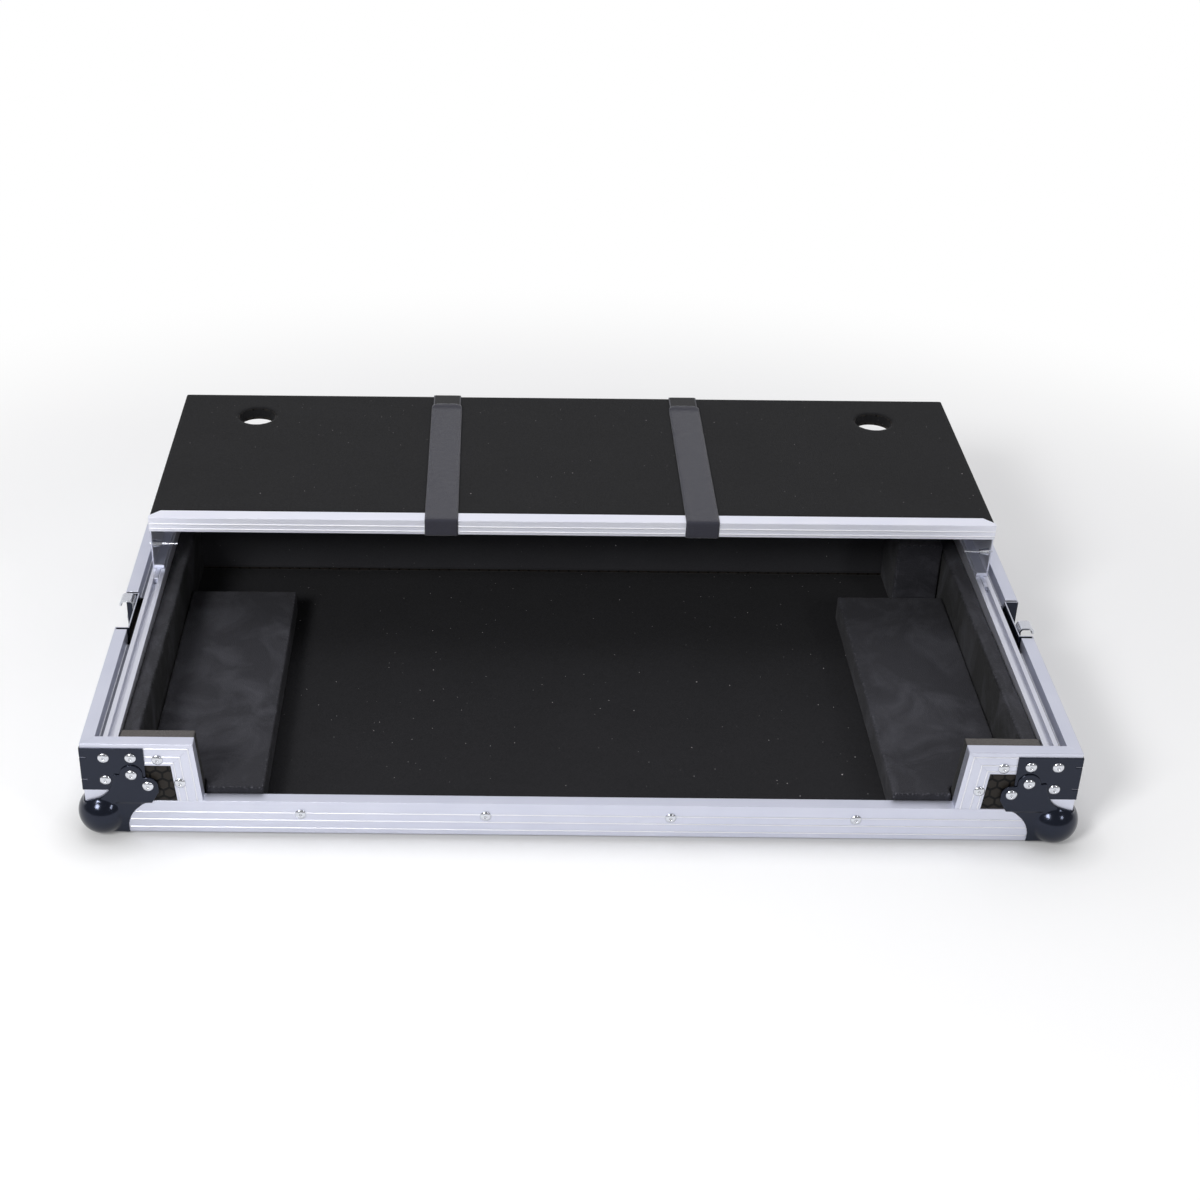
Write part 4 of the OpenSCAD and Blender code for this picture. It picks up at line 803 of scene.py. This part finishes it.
def white_table():
    """A wide pale table top that keeps the shadow near the case, with a painted shadow that makes it
    darkest at the case's foot, and runs into plain white further away."""
    corners = [(-TABLE_HALF, -TABLE_HALF, 0), (TABLE_HALF, -TABLE_HALF, 0),
               (TABLE_HALF, TABLE_HALF, 0), (-TABLE_HALF, TABLE_HALF, 0)]
    obj = plain_object("table_top", corners, [(0, 1, 2, 3)])
    material, tree = new_material("matt_white_table")
    seen = add(tree, "ShaderNodeLightPath")
    grain = add(tree, "ShaderNodeTexNoise", {"Vector": in_mm(tree, 400, 400, 400), "Scale": 1.0})
    colour = add(tree, "ShaderNodeMix", {
        0: grain.outputs[0], 6: srgb("#f1f1f1"), 7: srgb("#eeeeee")}, data_type="RGBA")
    # Painted shadow: the table's colour darkens where the case stands close over it
    close = add(tree, "ShaderNodeAmbientOcclusion", {"Distance": 0.035}, samples=8)
    painted_foot_shadow = add(tree, "ShaderNodeMapRange", {
        "Value": close.outputs["AO"], "From Min": 0.4, "From Max": 1.0, "To Min": 0.66, "To Max": 1.0})
    colour_with_foot_shadow = add(tree, "ShaderNodeMix", {
        0: 1.0, 6: colour.outputs[2], 7: painted_foot_shadow.outputs[0]}, data_type="RGBA", blend_type="MULTIPLY")
    matt = add(tree, "ShaderNodeBsdfDiffuse", {"Color": colour_with_foot_shadow.outputs[2]})
    first = add(tree, "ShaderNodeMath", {
        0: seen.outputs["Is Camera Ray"], 1: seen.outputs["Is Glossy Ray"]}, operation="MAXIMUM")
    shown = add(tree, "ShaderNodeMath", {
        0: first.outputs[0], 1: seen.outputs["Is Transmission Ray"]}, operation="MAXIMUM")
    amount = add(tree, "ShaderNodeMath", {0: shown.outputs[0], 1: 0.13}, operation="MULTIPLY")
    glow = add(tree, "ShaderNodeEmission", {"Strength": amount.outputs[0]})
    near = add(tree, "ShaderNodeAddShader", {0: matt.outputs[0], 1: glow.outputs[0]})
    away = add(tree, "ShaderNodeVectorMath", {0: in_mm(tree, 640, 500, 1000)}, operation="LENGTH")
    fade = add(tree, "ShaderNodeMapRange", {
        "Value": away.outputs["Value"], "From Min": 1.0, "From Max": 2.0}, interpolation_type="SMOOTHSTEP")
    share = add(tree, "ShaderNodeMath", {0: fade.outputs[0], 1: shown.outputs[0]}, operation="MULTIPLY")
    white = add(tree, "ShaderNodeEmission", {"Strength": 1.0})
    put_out(tree, add(tree, "ShaderNodeMixShader", {
        0: share.outputs[0], 1: near.outputs[0], 2: white.outputs[0]}))
    obj.data.materials.append(material)


def studio_light():
    """A room, bright behind the table and dim in front of it, with a lamp at either side and one overhead."""
    world = bpy.data.worlds.new("white_room")
    bpy.context.scene.world = world
    world.use_nodes = True
    tree = world.node_tree
    tree.nodes.clear()
    seen = add(tree, "ShaderNodeLightPath")
    first = add(tree, "ShaderNodeMath", {
        0: seen.outputs["Is Camera Ray"], 1: seen.outputs["Is Transmission Ray"]}, operation="MAXIMUM")
    way = add(tree, "ShaderNodeSeparateXYZ", {"Vector": add(tree, "ShaderNodeTexCoord").outputs["Generated"]})
    back = add(tree, "ShaderNodeMapRange", {
        "Value": way.outputs["Y"], "From Min": -0.3, "From Max": 0.5,
        "To Min": ROOM_FRONT, "To Max": ROOM_BACK}, interpolation_type="SMOOTHSTEP")
    strength = add(tree, "ShaderNodeMix", {0: first.outputs[0], 2: back.outputs[0], 3: 1.0})
    room = add(tree, "ShaderNodeBackground", {"Color": srgb("#fcfcff"), "Strength": strength.outputs[0]})
    add(tree, "ShaderNodeOutputWorld", {"Surface": room.outputs[0]})
    for name, place, size, power in LAMPS:
        lamp = bpy.data.lights.new(name, "AREA")
        lamp.shape = "RECTANGLE"
        lamp.size, lamp.size_y = size
        lamp.energy = power
        obj = bpy.data.objects.new(name, lamp)
        obj.location = place
        obj.rotation_euler = (Vector(LAMPS_POINT_AT) - Vector(place)).to_track_quat("-Z", "Y").to_euler()
        bpy.context.scene.collection.objects.link(obj)


def photo_camera():
    """Stands where the photograph was taken from, looking down on the open front."""
    data = bpy.data.cameras.new("photo_camera")
    data.sensor_width = SENSOR_MM
    data.lens = SENSOR_MM * FOCAL_LENGTH / PHOTO_SIDE
    data.shift_x = (PHOTO_SIDE / 2 - AXIS_COLUMN) / PHOTO_SIDE
    data.clip_start, data.clip_end = 0.05, 50
    turn = Matrix.Rotation(YAW, 3, "Z")
    ahead = turn @ Vector((0, math.cos(PITCH), -math.sin(PITCH)))
    up = turn @ Vector((0, math.sin(PITCH), math.cos(PITCH)))
    right = turn @ Vector((1, 0, 0))
    tilted_right = math.cos(ROLL) * right + math.sin(ROLL) * up
    tilted_up = -math.sin(ROLL) * right + math.cos(ROLL) * up
    obj = bpy.data.objects.new("photo_camera", data)
    bpy.context.scene.collection.objects.link(obj)
    axes = Matrix((tilted_right, tilted_up, -ahead)).transposed()
    obj.matrix_world = Matrix.Translation(at(*EYE)) @ axes.to_4x4()
    bpy.context.scene.camera = obj


photo_camera()
studio_light()
white_table()
finish_nodes()
foam_pieces()
felt_pieces()
ball_corners()
rivet_heads("edge_blind_rivets", "edge_rivets")
rivet_heads("corner_blind_rivets", "corner_rivets")
lid_grooves()
shelf_carpet()
shelf_straps()
hook_tapes()

bpy.context.scene.view_settings.view_transform = "Standard"
